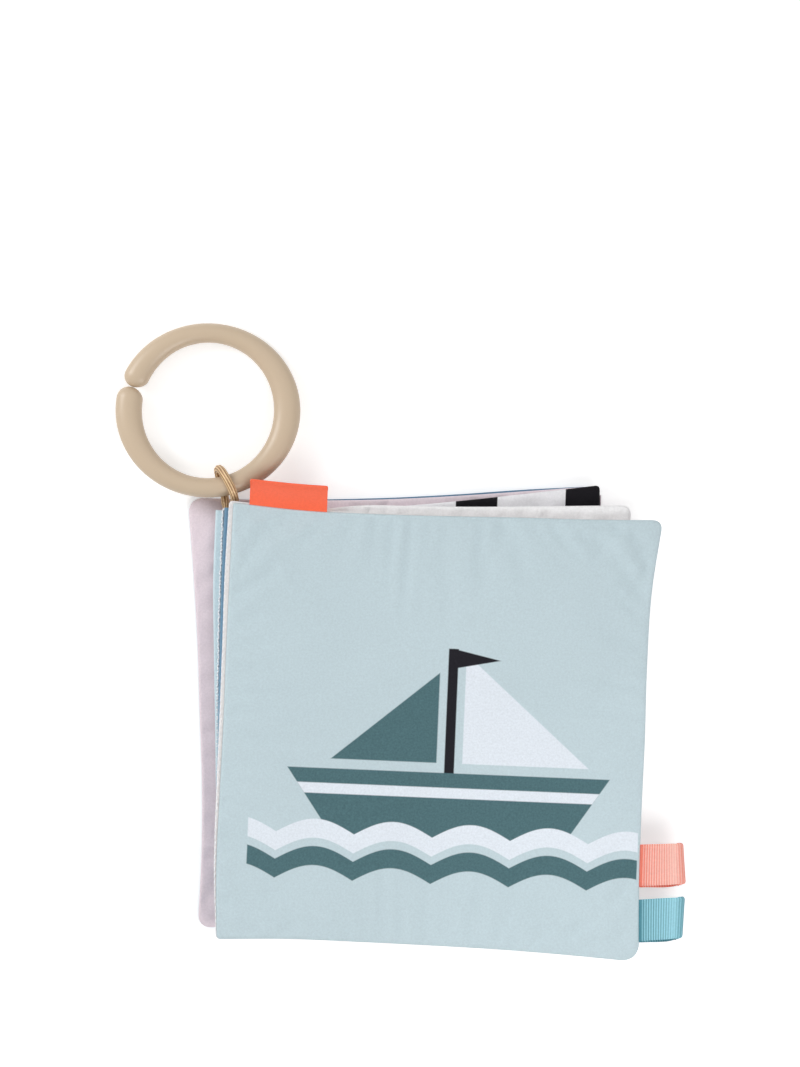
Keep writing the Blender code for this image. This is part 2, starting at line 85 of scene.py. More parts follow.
# Ribbons and label
SEWN_CLEARANCE = 0.0009
SEWN_TUCK = 0.0012
RIBBON_CLOTH = 0.0004
RIBBON_WIDTH = 0.0135
RIBBON_LENGTH = 0.0135
RIBBON_OPENING = 0.0036
RIBBON_PINCH = 0.0009
RIB_PITCH = 0.00082
RIB_HEIGHT = 0.00009
LABEL_CLOTH = 0.0004
LABEL_LENGTH = 0.0081
LABEL_RISE = 0.0030

# Clip ring
RING_ACROSS = (0.0606, 0.0573)
RING_BORE = (0.0430, 0.0444)
RING_BAR_HEIGHT = 0.0065
RING_GAP_DEGREES = 165.0
RING_TIP_GAP = 0.0001
RING_PLACE = (-0.078903, 0.100823, 0.005850)
RING_UP = (-0.026955, 0.098530, 0.994769)
PARTING_WIDTH_DEGREES = 9.0
PARTING_DEPTH = 0.00008

# Elastic loop, from the top of the spine over the ring's bar, round it and back under it
ELASTIC_DIAMETER = 0.0028
ELASTIC_ROUTE = (
    (-0.0690, 0.0682, 0.0070),
    (-0.0690, 0.0706, 0.0088),
    (-0.0689, 0.0726, 0.0112),
    (-0.0697, 0.0750, 0.0131),
    (-0.0711, 0.0777, 0.0133),
    (-0.0725, 0.0799, 0.0123),
    (-0.0736, 0.0814, 0.0101),
    (-0.0744, 0.0819, 0.0078),
    (-0.0748, 0.0814, 0.0057),
    (-0.0745, 0.0798, 0.0041),
    (-0.0737, 0.0772, 0.0034),
    (-0.0727, 0.0743, 0.0038),
    (-0.0720, 0.0714, 0.0050),
    (-0.0717, 0.0682, 0.0060),
)

# Fineness of the meshes
LEAF_CELLS = 124
INNER_CELLS = 40
SPINE_STATIONS = 180

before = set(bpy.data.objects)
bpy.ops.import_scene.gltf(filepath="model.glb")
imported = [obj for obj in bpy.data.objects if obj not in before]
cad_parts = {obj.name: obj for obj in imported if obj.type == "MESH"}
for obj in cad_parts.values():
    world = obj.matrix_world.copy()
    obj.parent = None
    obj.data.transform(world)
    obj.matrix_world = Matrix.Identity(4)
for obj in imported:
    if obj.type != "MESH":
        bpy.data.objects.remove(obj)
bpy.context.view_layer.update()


def srgb(red, green, blue):
    """A linear colour from a screen's values of 0 to 255."""
    shares = [value / 255 for value in (red, green, blue)]
    return tuple(s / 12.92 if s <= 0.04045 else ((s + 0.055) / 1.055) ** 2.4 for s in shares)


COVER_BLUE = srgb(196, 213, 219)
CREAM = srgb(238, 234, 233)
FLEECE_WHITE = srgb(246, 245, 246)
CHECK_WHITE = srgb(236, 235, 238)
CHECK_BLACK = srgb(18, 16, 21)
LILAC = srgb(231, 217, 224)
DUSTY_BLUE = srgb(112, 148, 176)
TAPE_BLUE = srgb(204, 224, 231)
THREAD_WHITE = srgb(248, 248, 250)
BATTING_WHITE = srgb(232, 232, 228)
FILM_GREY = srgb(222, 226, 230)
# The elastic's gold, lit and in painted shade
GOLD_LIT = srgb(250, 222, 172)
GOLD_PAINTED_SHADE = srgb(132, 82, 48)
RING_BEIGE = srgb(201, 180, 154)
LABEL_CORAL = srgb(255, 106, 68)
# The ribbons in light and in painted shade; their finish mixes the two by the painted shade that the mesh
# keeps
CORAL_LIT_RIB = srgb(255, 207, 195)
CORAL_PAINTED_SHADE = srgb(238, 118, 98)
TEAL_LIT_RIB = srgb(166, 222, 236)
TEAL_PAINTED_SHADE = srgb(72, 134, 148)
PRINT_TEAL = srgb(80, 112, 118)
PRINT_WHITE = srgb(228, 235, 243)
PRINT_BLACK = srgb(31, 30, 36)


# Shared mathematics
def lerp(a, b, share):
    return a + (b - a) * share


def smooth_share(share):
    """A share from 0 to 1 that starts and ends level."""
    share = np.clip(share, 0.0, 1.0)
    return share * share * (3 - 2 * share)


def through(points, steps):
    """Points on a smooth curve through the given ones, with some steps between each two."""
    points = np.array(points, float)
    line = np.concatenate([2 * points[:1] - points[1:2], points, 2 * points[-1:] - points[-2:-1]])
    spans = len(line) - 3
    shares = np.arange(steps)[:, None] / steps
    made = []
    for i in range(spans):
        a, b, c, d = line[i : i + 4]
        bend = (a * 2 - b * 5 + c * 4 - d) * shares**2
        twist = (b * 3 - a - c * 3 + d) * shares**3
        made.append((b * 2 + (c - a) * shares + bend + twist) / 2)
    return np.concatenate([*made, points[-1:]])


def unit(vectors):
    return vectors / np.linalg.norm(vectors, axis=-1, keepdims=True)


def walked_along(path):
    """How far each point of a path is from its start, along it."""
    return np.concatenate([[0.0], np.cumsum(np.linalg.norm(np.diff(path, axis=0), axis=1))])


def along(path, shares):
    """Points at shares of the length of a path."""
    walked = walked_along(path)
    return np.stack([np.interp(shares, walked / walked[-1], values) for values in path.T], axis=1)


def roughness_of(points, size, seed):
    """Smooth noise from -1 to 1 at each point, whose lumps are about as wide as the size."""
    points = np.pad(points, ((0, 0), (0, 3 - points.shape[1])))
    shift = Vector((seed, seed / 2, -seed))
    return np.array([noise.noise(Vector(p) / size + shift) for p in points])


# Finishes, each named after its slot in the record with a suffix of its own
FINISH_SUFFIX = "_finish"


class Finish:
    """A material under construction, with short calls for the nodes that are used here."""

    def __init__(self, name, values=None):
        self.material = bpy.data.materials.new(name + FINISH_SUFFIX)
        self.material.use_nodes = True
        self.tree = self.material.node_tree
        self.shader = self.tree.nodes["Principled BSDF"]
        for key, value in (values or {}).items():
            self.shader.inputs[key].default_value = value
        self.place = self.node("ShaderNodeTexCoord").outputs["Object"]
        self.x, self.y, _ = self.node("ShaderNodeSeparateXYZ", {0: self.place}).outputs

    def node(self, kind, values=None, **settings):
        """A node whose inputs are set to values, or linked where the value is another node's output."""
        made = self.tree.nodes.new(kind)
        for key, value in settings.items():
            setattr(made, key, value)
        for key, value in (values or {}).items():
            if isinstance(value, bpy.types.NodeSocket):
                self.tree.links.new(value, made.inputs[key])
            else:
                made.inputs[key].default_value = value
        return made

    def math(self, operation, *values):
        return self.node("ShaderNodeMath", dict(enumerate(values)), operation=operation).outputs[0]

    def in_turn(self, operation, first, *others):
        """An operation on two values, done with each of several in turn."""
        for other in others:
            first = self.math(operation, first, other)
        return first

    def kept(self, name):
        """A float that the mesh keeps for each of its vertices."""
        return self.node("ShaderNodeAttribute", attribute_name=name).outputs["Fac"]

    def noise(self, size, detail=2.0, stretch=(1.0, 1.0, 1.0)):
        """Noise from 0 to 1 with lumps of a size in metres, stretched along an axis by less than 1."""
        place = self.node("ShaderNodeVectorMath", {0: self.place, 1: stretch}, operation="MULTIPLY")
        values = {"Vector": place.outputs[0], "Scale": 1 / size, "Detail": detail}
        return self.node("ShaderNodeTexNoise", values).outputs[0]

    def spread(self, value, low, high, start=0.0, end=1.0):
        """A value between a start and an end, spread between two others."""
        values = {0: value, 1: start, 2: end, 3: low, 4: high}
        return self.node("ShaderNodeMapRange", values).outputs[0]

    def mix(self, share, first, second):
        """The first colour, and the second where the share is 1."""
        pair = [c if isinstance(c, bpy.types.NodeSocket) else (*c, 1.0) for c in (first, second)]
        values = {0: share, 6: pair[0], 7: pair[1]}
        return self.node("ShaderNodeMix", values, data_type="RGBA").outputs[2]

    def shade(self, colour, tone):
        """A colour made lighter or darker by a tone about 1."""
        return self.node("ShaderNodeVectorMath", {0: colour, "Scale": tone}, operation="SCALE").outputs[0]

    def ripple(self, axis, pitch):
        """Waves from -1 to 1 along an axis."""
        return self.math("SINE", self.math("MULTIPLY", axis, 2 * math.pi / pitch))

    def use(self, colour, rough, bump):
        """The material, with a roughness of (share, low, high) and a bump of (height, depth, strength)."""
        height, depth, strength = bump
        values = {"Height": height, "Distance": depth, "Strength": strength}
        normal = self.node("ShaderNodeBump", values).outputs[0]
        sources = {"Base Color": colour, "Roughness": self.spread(*rough), "Normal": normal}
        for socket, source in sources.items():
            self.tree.links.new(source, self.shader.inputs[socket])
        return self.material


WEAVE_PITCH = 0.00052
TAPE_PITCH = 0.0006
COTTON_DEPTH = 0.00013
YARN_EVENNESS = 0.35
YARN_SPECKLE = 0.00022
SPECKLE_TONE = 0.07
SLUB_SIZE = 0.0007
SLUB_TONE = 0.085
BLOTCH_SIZE = 0.035
BLOTCH_TONE = 0.035
WEAR_REACH = 0.0012
WEAR_TONE = 1.035


def mottled(finish, size, tone, detail=2.0):
    """A tone about 1 that changes over a size."""
    return finish.spread(finish.noise(size, detail), 1 - tone, 1 + tone)


def cloth_tone(finish, speckle=SPECKLE_TONE):
    """Slow and fine changes of tone, as in dyed yarn."""
    blotch = mottled(finish, BLOTCH_SIZE, BLOTCH_TONE)
    fine = mottled(finish, YARN_SPECKLE, speckle, 1.0)
    slub = mottled(finish, SLUB_SIZE, SLUB_TONE, 1.0)
    return finish.in_turn("MULTIPLY", blotch, fine, slub)


def worn(finish, tone):
    """A tone that is a little lighter along the edge of a leaf, where it is rubbed."""
    rubbed = finish.spread(finish.kept("inset"), WEAR_TONE, 1.0, end=WEAR_REACH)
    return finish.math("MULTIPLY", tone, rubbed)


def weave_height(finish, pitch):
    """The height of a plain weave, with slightly uneven yarns."""
    weave = finish.math("MULTIPLY", finish.ripple(finish.x, pitch), finish.ripple(finish.y, pitch))
    uneven = finish.noise(pitch * 3, detail=1.0)
    return finish.math("MULTIPLY_ADD", weave, YARN_EVENNESS, uneven)


def cotton(name, colour, pitch=WEAVE_PITCH, painted=None, speckle=SPECKLE_TONE):
    """Matte plain-woven cotton, which may be printed by a function of the finish and its colour."""
    finish = Finish(name, {"Sheen Weight": 0.06, "Sheen Roughness": 0.5, "Specular IOR Level": 0.16})
    ground = painted(finish, colour) if painted else colour
    colour = finish.shade(ground, worn(finish, cloth_tone(finish, speckle)))
    rough = (finish.noise(BLOTCH_SIZE / 4), 0.82, 0.94)
    return finish.use(colour, rough, (weave_height(finish, pitch), COTTON_DEPTH, 0.7))


# The print on the cover: a sailing boat on scalloped waves, in metres on the cover
INK_SOFTNESS = 0.00016
INK_GRAIN_SIZE = 0.0006
INK_GRAIN = 0.28
PALE_INK_GRAIN = 0.07
HULL = ((-0.0322, -0.0365), (0.0422, -0.0365), (0.0570, -0.0140), (-0.0480, -0.0140))
HULL_STRIPE = ((-0.0480, -0.0222), (0.0600, -0.0222), (0.0600, -0.0188), (-0.0480, -0.0188))
MAST = ((0.0030, -0.0150), (0.0062, -0.0150), (0.0062, 0.0265), (0.0030, 0.0265))
FORE_SAIL = ((-0.0340, -0.0108), (0.0004, -0.0108), (0.0004, 0.0185))
MAIN_SAIL = ((0.0088, -0.0108), (0.0500, -0.0108), (0.0088, 0.0250))
PENNANT = ((0.0046, 0.0200), (0.0200, 0.0232), (0.0046, 0.0265))
WAVE_ENDS = (-0.0600, 0.0670)
WAVE_PITCH = 0.0254
WAVE_RISE = 0.0046
WAVES = ((-0.0352, -0.0414), (-0.0441, -0.0503))


def outside(finish, corners):
    """How far a point of the print lies outside a convex figure, whose corners run anticlockwise."""
    sides = []
    for (ax, ay), (bx, by) in zip(corners, corners[1:] + corners[:1]):
        length = math.hypot(bx - ax, by - ay)
        across = ((by - ay) / length, -(bx - ax) / length)
        offset = -(ax * across[0] + ay * across[1])
        side = finish.math("MULTIPLY_ADD", finish.y, across[1], offset)
        sides.append(finish.math("MULTIPLY_ADD", finish.x, across[0], side))
    return finish.in_turn("MAXIMUM", *sides)


def scallops(finish, top, bottom):
    """How far a point lies outside a band of scallops between two levels."""
    left, right = WAVE_ENDS
    turn = finish.math("MULTIPLY", finish.x, math.pi / WAVE_PITCH)
    crest = finish.math("MULTIPLY", finish.math("ABSOLUTE", finish.math("SINE", turn)), WAVE_RISE)
    level = finish.math("SUBTRACT", finish.y, crest)
    past = ((level, top), (bottom, level), (finish.x, right), (left, finish.x))
    return finish.in_turn("MAXIMUM", *(finish.math("SUBTRACT", a, b) for a, b in past))


def inked(finish, ground, distance, colour):
    """The ground with a figure printed on it, whose edge bleeds a little into the yarn."""
    share = finish.spread(distance, 1.0, 0.0, start=-INK_SOFTNESS, end=INK_SOFTNESS)
    grain = mottled(finish, INK_GRAIN_SIZE, PALE_INK_GRAIN if colour == PRINT_WHITE else INK_GRAIN)
    return finish.mix(share, ground, finish.shade(colour, grain))


def boat_print(finish, ground):
    stripe = finish.math("MAXIMUM", outside(finish, HULL_STRIPE), outside(finish, HULL))
    figures = [
        (outside(finish, FORE_SAIL), PRINT_TEAL),
        (outside(finish, MAIN_SAIL), PRINT_WHITE),
        (outside(finish, PENNANT), PRINT_BLACK),
        (outside(finish, MAST), PRINT_BLACK),
        (outside(finish, HULL), PRINT_TEAL),
        (stripe, PRINT_WHITE),
        (scallops(finish, *WAVES[0]), PRINT_WHITE),
        (scallops(finish, *WAVES[1]), PRINT_TEAL),
    ]
    for distance, colour in figures:
        ground = inked(finish, ground, distance, colour)
    return ground


# The blocks on the check page
BLOCK_FROM = 0.0032
BLOCK_WIDTH = 0.0136
BLOCK_PITCH = 0.0357
BLOCK_ROW = 0.0175
BLOCK_TOP = 0.0830


def block_print(finish, ground):
    """Rows of black blocks, each row moved along by half a pitch."""
    down = finish.math("SUBTRACT", BLOCK_TOP, finish.y)
    row = finish.math("FLOOR", finish.math("DIVIDE", down, BLOCK_ROW))
    odd = finish.math("MODULO", row, 2.0)
    start = finish.math("MULTIPLY_ADD", odd, BLOCK_PITCH / 2, BLOCK_FROM)
    place = finish.math("WRAP", finish.math("SUBTRACT", finish.x, start), BLOCK_PITCH, 0.0)
    middle = finish.math("ABSOLUTE", finish.math("SUBTRACT", place, BLOCK_WIDTH / 2))
    return inked(finish, ground, finish.math("SUBTRACT", middle, BLOCK_WIDTH / 2), CHECK_BLACK)


# The other finishes: the sizes of their grains, and how deep these stand
TUFT_SIZE = 0.0016
MATTED_FIBRE = 0.00035
FLEECE_DEPTH = 0.00035
TWILL_PITCH = 0.00042
TWILL_SLANT = 0.6
SATIN_PATCH = 0.004
SATIN_DEPTH = 0.00004
CROSS_YARN_PITCH = 0.00034
RIBBON_PATCH = 0.003
RIBBON_DEPTH = 0.00005
THREAD_FIBRE = 0.00012
THREAD_DEPTH = 0.00004
GLINT_SIZE = 0.0003
GLINT_DEPTH = 0.00006
MOULD_GRAIN = 0.00045
MOULD_DEPTH = 0.00003
MOULD_MARKS = 0.009
MOULD_PATCH = 0.03
BATTING_FIBRE = 0.0007
BATTING_DEPTH = 0.0006
FILM_CREASE = 0.006
FILM_DEPTH = 0.0008


def fleece(name, colour):
    """Brushed fleece: matted fibres in soft tufts."""
    finish = Finish(name, {"Sheen Weight": 0.35, "Sheen Roughness": 0.6, "Specular IOR Level": 0.15})
    tufts = finish.noise(TUFT_SIZE, detail=3.0)
    fibres = finish.noise(MATTED_FIBRE, stretch=(1.0, 0.4, 1.0))
    height = finish.math("MULTIPLY_ADD", fibres, 0.5, tufts)
    tone = finish.math("MULTIPLY", cloth_tone(finish, 0.05), finish.spread(tufts, 0.94, 1.05))
    return finish.use(finish.shade(colour, tone), (tufts, 0.9, 1.0), (height, FLEECE_DEPTH, 0.7))


def satin(name, colour):
    """Woven satin with a fine twill, with a painted highlight where its floats lie up."""
    finish = Finish(name, {"Sheen Weight": 0.1, "Specular IOR Level": 0.45, "Anisotropic": 0.4})
    twill = finish.ripple(finish.math("MULTIPLY_ADD", finish.y, TWILL_SLANT, finish.x), TWILL_PITCH)
    tone = finish.math("MULTIPLY", cloth_tone(finish, 0.035), finish.spread(twill, 0.97, 1.03))
    rough = (finish.noise(SATIN_PATCH), 0.38, 0.52)
    return finish.use(finish.shade(colour, tone), rough, (twill, SATIN_DEPTH, 0.6))


def ribbed(name, rib, painted_shade_colour):
    """Ribbed ribbon. Its ribs are modelled, so the finish has the yarns that cross them. Its colour goes
    from the lit rib colour to the colour in painted shade, by the painted shade that the mesh keeps.
    """
    finish = Finish(name, {"Sheen Weight": 0.1, "Sheen Roughness": 0.4, "Specular IOR Level": 0.3})
    colour = finish.mix(finish.kept("hollow"), rib, painted_shade_colour)
    yarn = finish.ripple(finish.y, CROSS_YARN_PITCH)
    tone = finish.math("MULTIPLY", cloth_tone(finish, 0.06), finish.spread(yarn, 0.97, 1.03))
    rough = (finish.noise(RIBBON_PATCH), 0.55, 0.72)
    return finish.use(finish.shade(colour, tone), rough, (yarn, RIBBON_DEPTH, 0.7))


def thread(name, colour):
    """Spun polyester thread, with loose fibres between its plies."""
    finish = Finish(name, {"Sheen Weight": 0.2, "Specular IOR Level": 0.4})
    fibres = finish.noise(THREAD_FIBRE, stretch=(1.0, 0.3, 1.0))
    colour = finish.shade(colour, finish.spread(fibres, 0.96, 1.06))
    return finish.use(colour, (fibres, 0.5, 0.7), (fibres, THREAD_DEPTH, 0.8))


def metallic_braid(name, light_colour, braid_shade_colour):
    """Braided elastic with metallic yarn, with painted shade between its ribs."""
    finish = Finish(name, {"Metallic": 0.25, "Specular IOR Level": 0.6})
    glint = finish.noise(GLINT_SIZE, stretch=(1.0, 0.5, 1.0))
    share = finish.math("MULTIPLY", finish.kept("hollow"), finish.spread(glint, 0.75, 1.25))
    colour = finish.mix(finish.math("MINIMUM", share, 1.0), light_colour, braid_shade_colour)
    return finish.use(colour, (glint, 0.3, 0.55), (glint, GLINT_DEPTH, 0.8))


def moulded(name, colour):
    """Satin moulded plastic with a fine grain and faint handling marks."""
    finish = Finish(name, {"Specular IOR Level": 0.5, "Coat Weight": 0.2, "Coat Roughness": 0.36})
    grain = finish.noise(MOULD_GRAIN, detail=3.0)
    marks = finish.noise(MOULD_MARKS, detail=4.0, stretch=(1.0, 0.35, 1.0))
    tone = finish.math("MULTIPLY", mottled(finish, MOULD_PATCH, 0.03), finish.spread(grain, 0.985, 1.015))
    return finish.use(finish.shade(colour, tone), (marks, 0.32, 0.44), (grain, MOULD_DEPTH, 0.5))


def loose_batting(name, colour):
    finish = Finish(name, {"Sheen Weight": 0.3, "Specular IOR Level": 0.1})
    fibres = finish.noise(BATTING_FIBRE, detail=4.0, stretch=(1.0, 0.3, 0.6))
    colour = finish.shade(colour, finish.spread(fibres, 0.85, 1.1))
    return finish.use(colour, (fibres, 0.9, 1.0), (fibres, BATTING_DEPTH, 1.0))


def crinkled_film(name, colour):
    finish = Finish(name, {"Transmission Weight": 0.6, "Specular IOR Level": 0.6})
    creases = finish.noise(FILM_CREASE, detail=5.0)
    colour = finish.shade(colour, finish.spread(creases, 0.94, 1.04))
    return finish.use(colour, (creases, 0.12, 0.3), (creases, FILM_DEPTH, 1.0))


COVER_FINISH = cotton("cover_cotton", COVER_BLUE, painted=boat_print)
CREAM_FINISH = cotton("lining_cotton", CREAM)
FLEECE_FINISH = fleece("fleece", FLEECE_WHITE)
CHECK_FINISH = cotton("check_cotton", CHECK_WHITE, painted=block_print, speckle=0.05)
LILAC_FINISH = cotton("lilac_cotton", LILAC)
DUSTY_FINISH = cotton("dusty_blue_cotton", DUSTY_BLUE)
TAPE_FINISH = cotton("light_blue_tape", TAPE_BLUE, pitch=TAPE_PITCH)
THREAD_FINISH = thread("white_thread", THREAD_WHITE)
BATTING_FINISH = loose_batting("batting", BATTING_WHITE)
FILM_FINISH = crinkled_film("crinkle_film", FILM_GREY)
BRAID_FINISH = metallic_braid("gold_elastic", GOLD_LIT, GOLD_PAINTED_SHADE)
RING_FINISH = moulded("ring_plastic", RING_BEIGE)
LABEL_FINISH = satin("coral_satin", LABEL_CORAL)
RIBBON_FINISHES = {
    "coral_ribbon": ribbed("coral_ribbon", CORAL_LIT_RIB, CORAL_PAINTED_SHADE),
    "teal_ribbon": ribbed("teal_ribbon", TEAL_LIT_RIB, TEAL_PAINTED_SHADE),
}


# Meshes
SHARP_DEGREES = 50.0


def linked(name, data):
    """A new object in the scene."""
    made = bpy.data.objects.new(name, data)
    bpy.context.scene.collection.objects.link(made)
    return made


def new_piece(name, vertices, faces, finish, **attributes):
    """A smooth mesh object, with its floats kept for each vertex under their names."""
    mesh = bpy.data.meshes.new(name)
    mesh.from_pydata([tuple(v) for v in vertices], [], faces)
    mesh.materials.append(finish)
    mesh.shade_smooth()
    mesh.set_sharp_from_angle(angle=math.radians(SHARP_DEGREES))
    for key, values in attributes.items():
        mesh.attributes.new(key, "FLOAT", "POINT").data.foreach_set("value", np.array(values, np.float32))
    return linked(name, mesh)


def carried(made, body, node=None):
    """Makes a piece ride on a body, and take the place of a node."""
    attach(made, body)
    if node:
        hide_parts(node)


def quads(rows, columns, start=0, turned=False, around=False):
    """The faces of a grid of points, which may be turned over or closed round its columns."""
    faces = []
    for row in range(rows - 1):
        for column in range(columns if around else columns - 1):
            a = start + row * columns + column
            b = start + row * columns + (column + 1) % columns
            face = (a, b, b + columns, a + columns)
            faces.append(face[::-1] if turned else face)
    return faces


def closed_tube(rows, sides, start=0):
    """The faces of a tube of closed sections, with a cap on each of its ends."""
    last = start + (rows - 1) * sides
    caps = [tuple(range(start + sides - 1, start - 1, -1)), tuple(range(last, last + sides))]
    return quads(rows, sides, start, around=True) + caps


def border(rows, columns):
    """The outer points of a grid, in order round it."""
    bottom = list(range(columns))
    right = [row * columns + columns - 1 for row in range(1, rows)]
    top = [(rows - 1) * columns + column for column in range(columns - 2, -1, -1)]
    left = [row * columns for row in range(rows - 2, 0, -1)]
    return bottom + right + top + left


def two_sided(name, upper, lower, finish, **attributes):
    """A closed body between two grids of points, whose attributes are given for one of them."""
    rows, columns = upper.shape[:2]
    count = rows * columns
    vertices = np.concatenate([upper.reshape(-1, 3), lower.reshape(-1, 3)])
    faces = quads(rows, columns) + quads(rows, columns, count, turned=True)
    edge = border(rows, columns)
    for a, b in zip(edge, edge[1:] + edge[:1]):
        faces.append((b, a, count + a, count + b))
    both = {key: np.tile(np.ravel(values), 2) for key, values in attributes.items()}
    return new_piece(name, vertices, faces, finish, **both)


def facing(surface):
    """The unit normals of a grid of points."""
    return unit(np.cross(np.gradient(surface, axis=1), np.gradient(surface, axis=0)))


def thickened(name, surface, cloth, finish, **attributes):
    """A cloth of a thickness whose middle is the surface."""
    half = facing(surface) * np.broadcast_to(cloth, surface.shape[:2])[..., None] / 2
    return two_sided(name, surface - half, surface + half, finish, **attributes)


# Leaves
RIM_ROWS = (0.00018, 0.00040, 0.00080, 0.00150)
RIM_SAMPLES = 1600
SIDE_STEPS = 60
ARC_STEPS = 10
ARC_REACH = 0.6
PUCKER_PITCH = 0.0075
PUCKER_REACH = 0.0060
PUCKER_HEIGHT = 0.00014
CREASE_LEAN = 0.6
CREASE_BLUNTNESS = 0.7

# Outlines, measured in the photograph. Each holds its corners, bottom left first and anticlockwise,
# the radius of each corner, and how far each side (bottom, right, top, left) is drawn in at even steps.
PAGE_BOTTOM = (0.0008, 0.0011, 0.0011, 0.0010, 0.0006)
PAGE_RIGHT = (0.0006, 0.0008, 0.0008, 0.0007, 0.0005)
COVER_OUTLINE = (
    ((-0.0687, -0.0712), (0.0690, -0.0729), (0.0709, 0.0712), (-0.0692, 0.0711)),
    (0.0014, 0.0062, 0.0034, 0.0009),
    (
        (0.0013, 0.0016, 0.0017, 0.0016, 0.0010),
        (0.0012, 0.0018, 0.0020, 0.0026, 0.0024),
        (0.0008, 0.0011, 0.0016, 0.0019, 0.0016),
        (-0.0003, -0.0005, -0.0005, -0.0008, -0.0010),
    ),
)
LINING_OUTLINE = (
    ((-0.0690, -0.0712), (0.0690, -0.0729), (0.0709, 0.0712), (-0.0706, 0.0717)),
    (0.0014, 0.0062, 0.0034, 0.0014),
    (*COVER_OUTLINE[2][:3], (-0.0007, -0.0008, -0.0010, -0.0013, -0.0013)),
)
FLEECE_OUTLINE = (
    ((-0.0672, -0.0692), (0.0655, -0.0655), (0.0604, 0.0756), (-0.0713, 0.0693)),
    (0.0020, 0.0030, 0.0032, 0.0014),
    (
        PAGE_BOTTOM,
        (0.0009, 0.0014, 0.0015, 0.0014, 0.0009),
        (0.0001, 0.0002, 0.0, -0.0005, 0.0014),
        (-0.0007, -0.0010, -0.0012, -0.0008, -0.0003),
    ),
)
CHECK_OUTLINE = (
    ((-0.0681, -0.0666), (0.0580, -0.0615), (0.0500, 0.0818), (-0.0743, 0.0684)),
    (0.0020, 0.0025, 0.0016, 0.0014),
    (
        PAGE_BOTTOM,
        PAGE_RIGHT,
        (0.0011, 0.0020, 0.0026, 0.0025, 0.0013),
        (-0.0009, -0.0008, -0.0005, -0.0003, -0.0001),
    ),
)
REAR_OUTLINE = (
    ((-0.0750, -0.0681), (0.0567, -0.0627), (0.0472, 0.0813), (-0.0842, 0.0721)),
    (0.0045, 0.0030, 0.0030, 0.0055),
    (
        PAGE_BOTTOM,
        PAGE_RIGHT,
        (0.0005, 0.0014, 0.0019, 0.0018, 0.0013),
        (0.0013, 0.0021, 0.0023, 0.0025, 0.0018),
    ),
)
# The face of the rear page ends a little below its back along the top, so that the back shows there.
REAR_FACE_OUTLINE = (
    ((-0.0753, -0.0684), (0.0570, -0.0630), (0.0475, 0.0813), (-0.0845, 0.0722)),
    REAR_OUTLINE[1],
    (*REAR_OUTLINE[2][:2], (0.0010, 0.0019, 0.0024, 0.0022, 0.0014), REAR_OUTLINE[2][3]),
)


def side_points(start, end, depths, first, last):
    """A side between two corners, drawn in by depths at even steps, from one share to another."""
    way = end - start
    inward = unit(np.array([-way[1], way[0]]))
    drawn = through(np.array([0.0, *depths, 0.0])[:, None], ARC_STEPS)[:, 0]
    shares = np.linspace(first, last, SIDE_STEPS)[:, None]
    depth = np.interp(shares, np.linspace(0.0, 1.0, len(drawn)), drawn)
    return start + way * shares + inward * depth


def sides_of(outline):
    """The bottom, right, top and left sides, each between the middles of its rounded corners."""
    corners, radii, drawn_in = outline
    corners = np.array(corners)
    lines = []
    for i, depths in enumerate(drawn_in):
        after = (i + 1) % len(corners)
        length = np.linalg.norm(corners[after] - corners[i])
        shares = (radii[i] / length, 1 - radii[after] / length)
        lines.append(side_points(corners[i], corners[after], depths, *shares))
    share = np.linspace(0.0, 1.0, 2 * ARC_STEPS + 1)[:, None]
    rest = 1 - share
    arcs = []
    for i, corner in enumerate(corners):
        first, last = lines[i - 1][-1], lines[i][0]
        near = lerp(first, corner, ARC_REACH)
        far = lerp(last, corner, ARC_REACH)
        bend = 3 * rest * share * (near * rest + far * share)
        arcs.append(first * rest**3 + bend + last * share**3)
    sides = []
    for i, line in enumerate(lines):
        into = arcs[(i + 1) % len(arcs)][: ARC_STEPS + 1]
        sides.append(np.concatenate([arcs[i][ARC_STEPS:], line[1:-1], into]))
    return sides


def patch(sides, across, up):
    """A grid of points inside four sides, at shares across and up, in rows from the bottom."""
    bottom = along(sides[0], across)
    right = along(sides[1], up)
    top = along(sides[2][::-1], across)
    left = along(sides[3][::-1], up)
    u = across[None, :, None]
    v = up[:, None, None]
    ruled = lerp(bottom[None], top[None], v) + lerp(left[:, None], right[:, None], u)
    corners = lerp(lerp(bottom[0], bottom[-1], u), lerp(top[0], top[-1], u), v)
    return ruled - corners


def graded_shares(length, cells):
    """Shares along a side, closer together near its ends."""
    near = np.array(RIM_ROWS) / length
    middle = np.linspace(near[-1], 1 - near[-1], cells)[1:-1]
    return np.concatenate([[0.0], near, middle, 1 - near[::-1], [1.0]])


def depth_inside(points, sides):
    """How far each point lies inside the sides, and how far round them its nearest point is."""
    rim = np.concatenate([along(side, np.arange(RIM_SAMPLES) / RIM_SAMPLES) for side in sides])
    steps = np.linalg.norm(np.diff(rim, axis=0, append=rim[:1]), axis=1)
    walked = np.cumsum(steps)
    tree = kdtree.KDTree(len(rim))
    for i, (x, y) in enumerate(rim):
        tree.insert((x, y, 0.0), i)
    tree.balance()
    found = [tree.find((x, y, 0.0)) for x, y in points]
    return np.array([item[2] for item in found]), walked[[item[1] for item in found]]


def plump(inset, crown):
    """The height of a cloth over its seam, at an inset from the edge."""
    rim = RIM_HEIGHT * np.sqrt(1 - (1 - np.clip(inset / RIM_ROUND, 0, 1)) ** 2)
    out = 1 - np.clip(inset / CROWN_REACH, 0, 1)
    return rim + (crown - RIM_HEIGHT) * (1 - out * out)


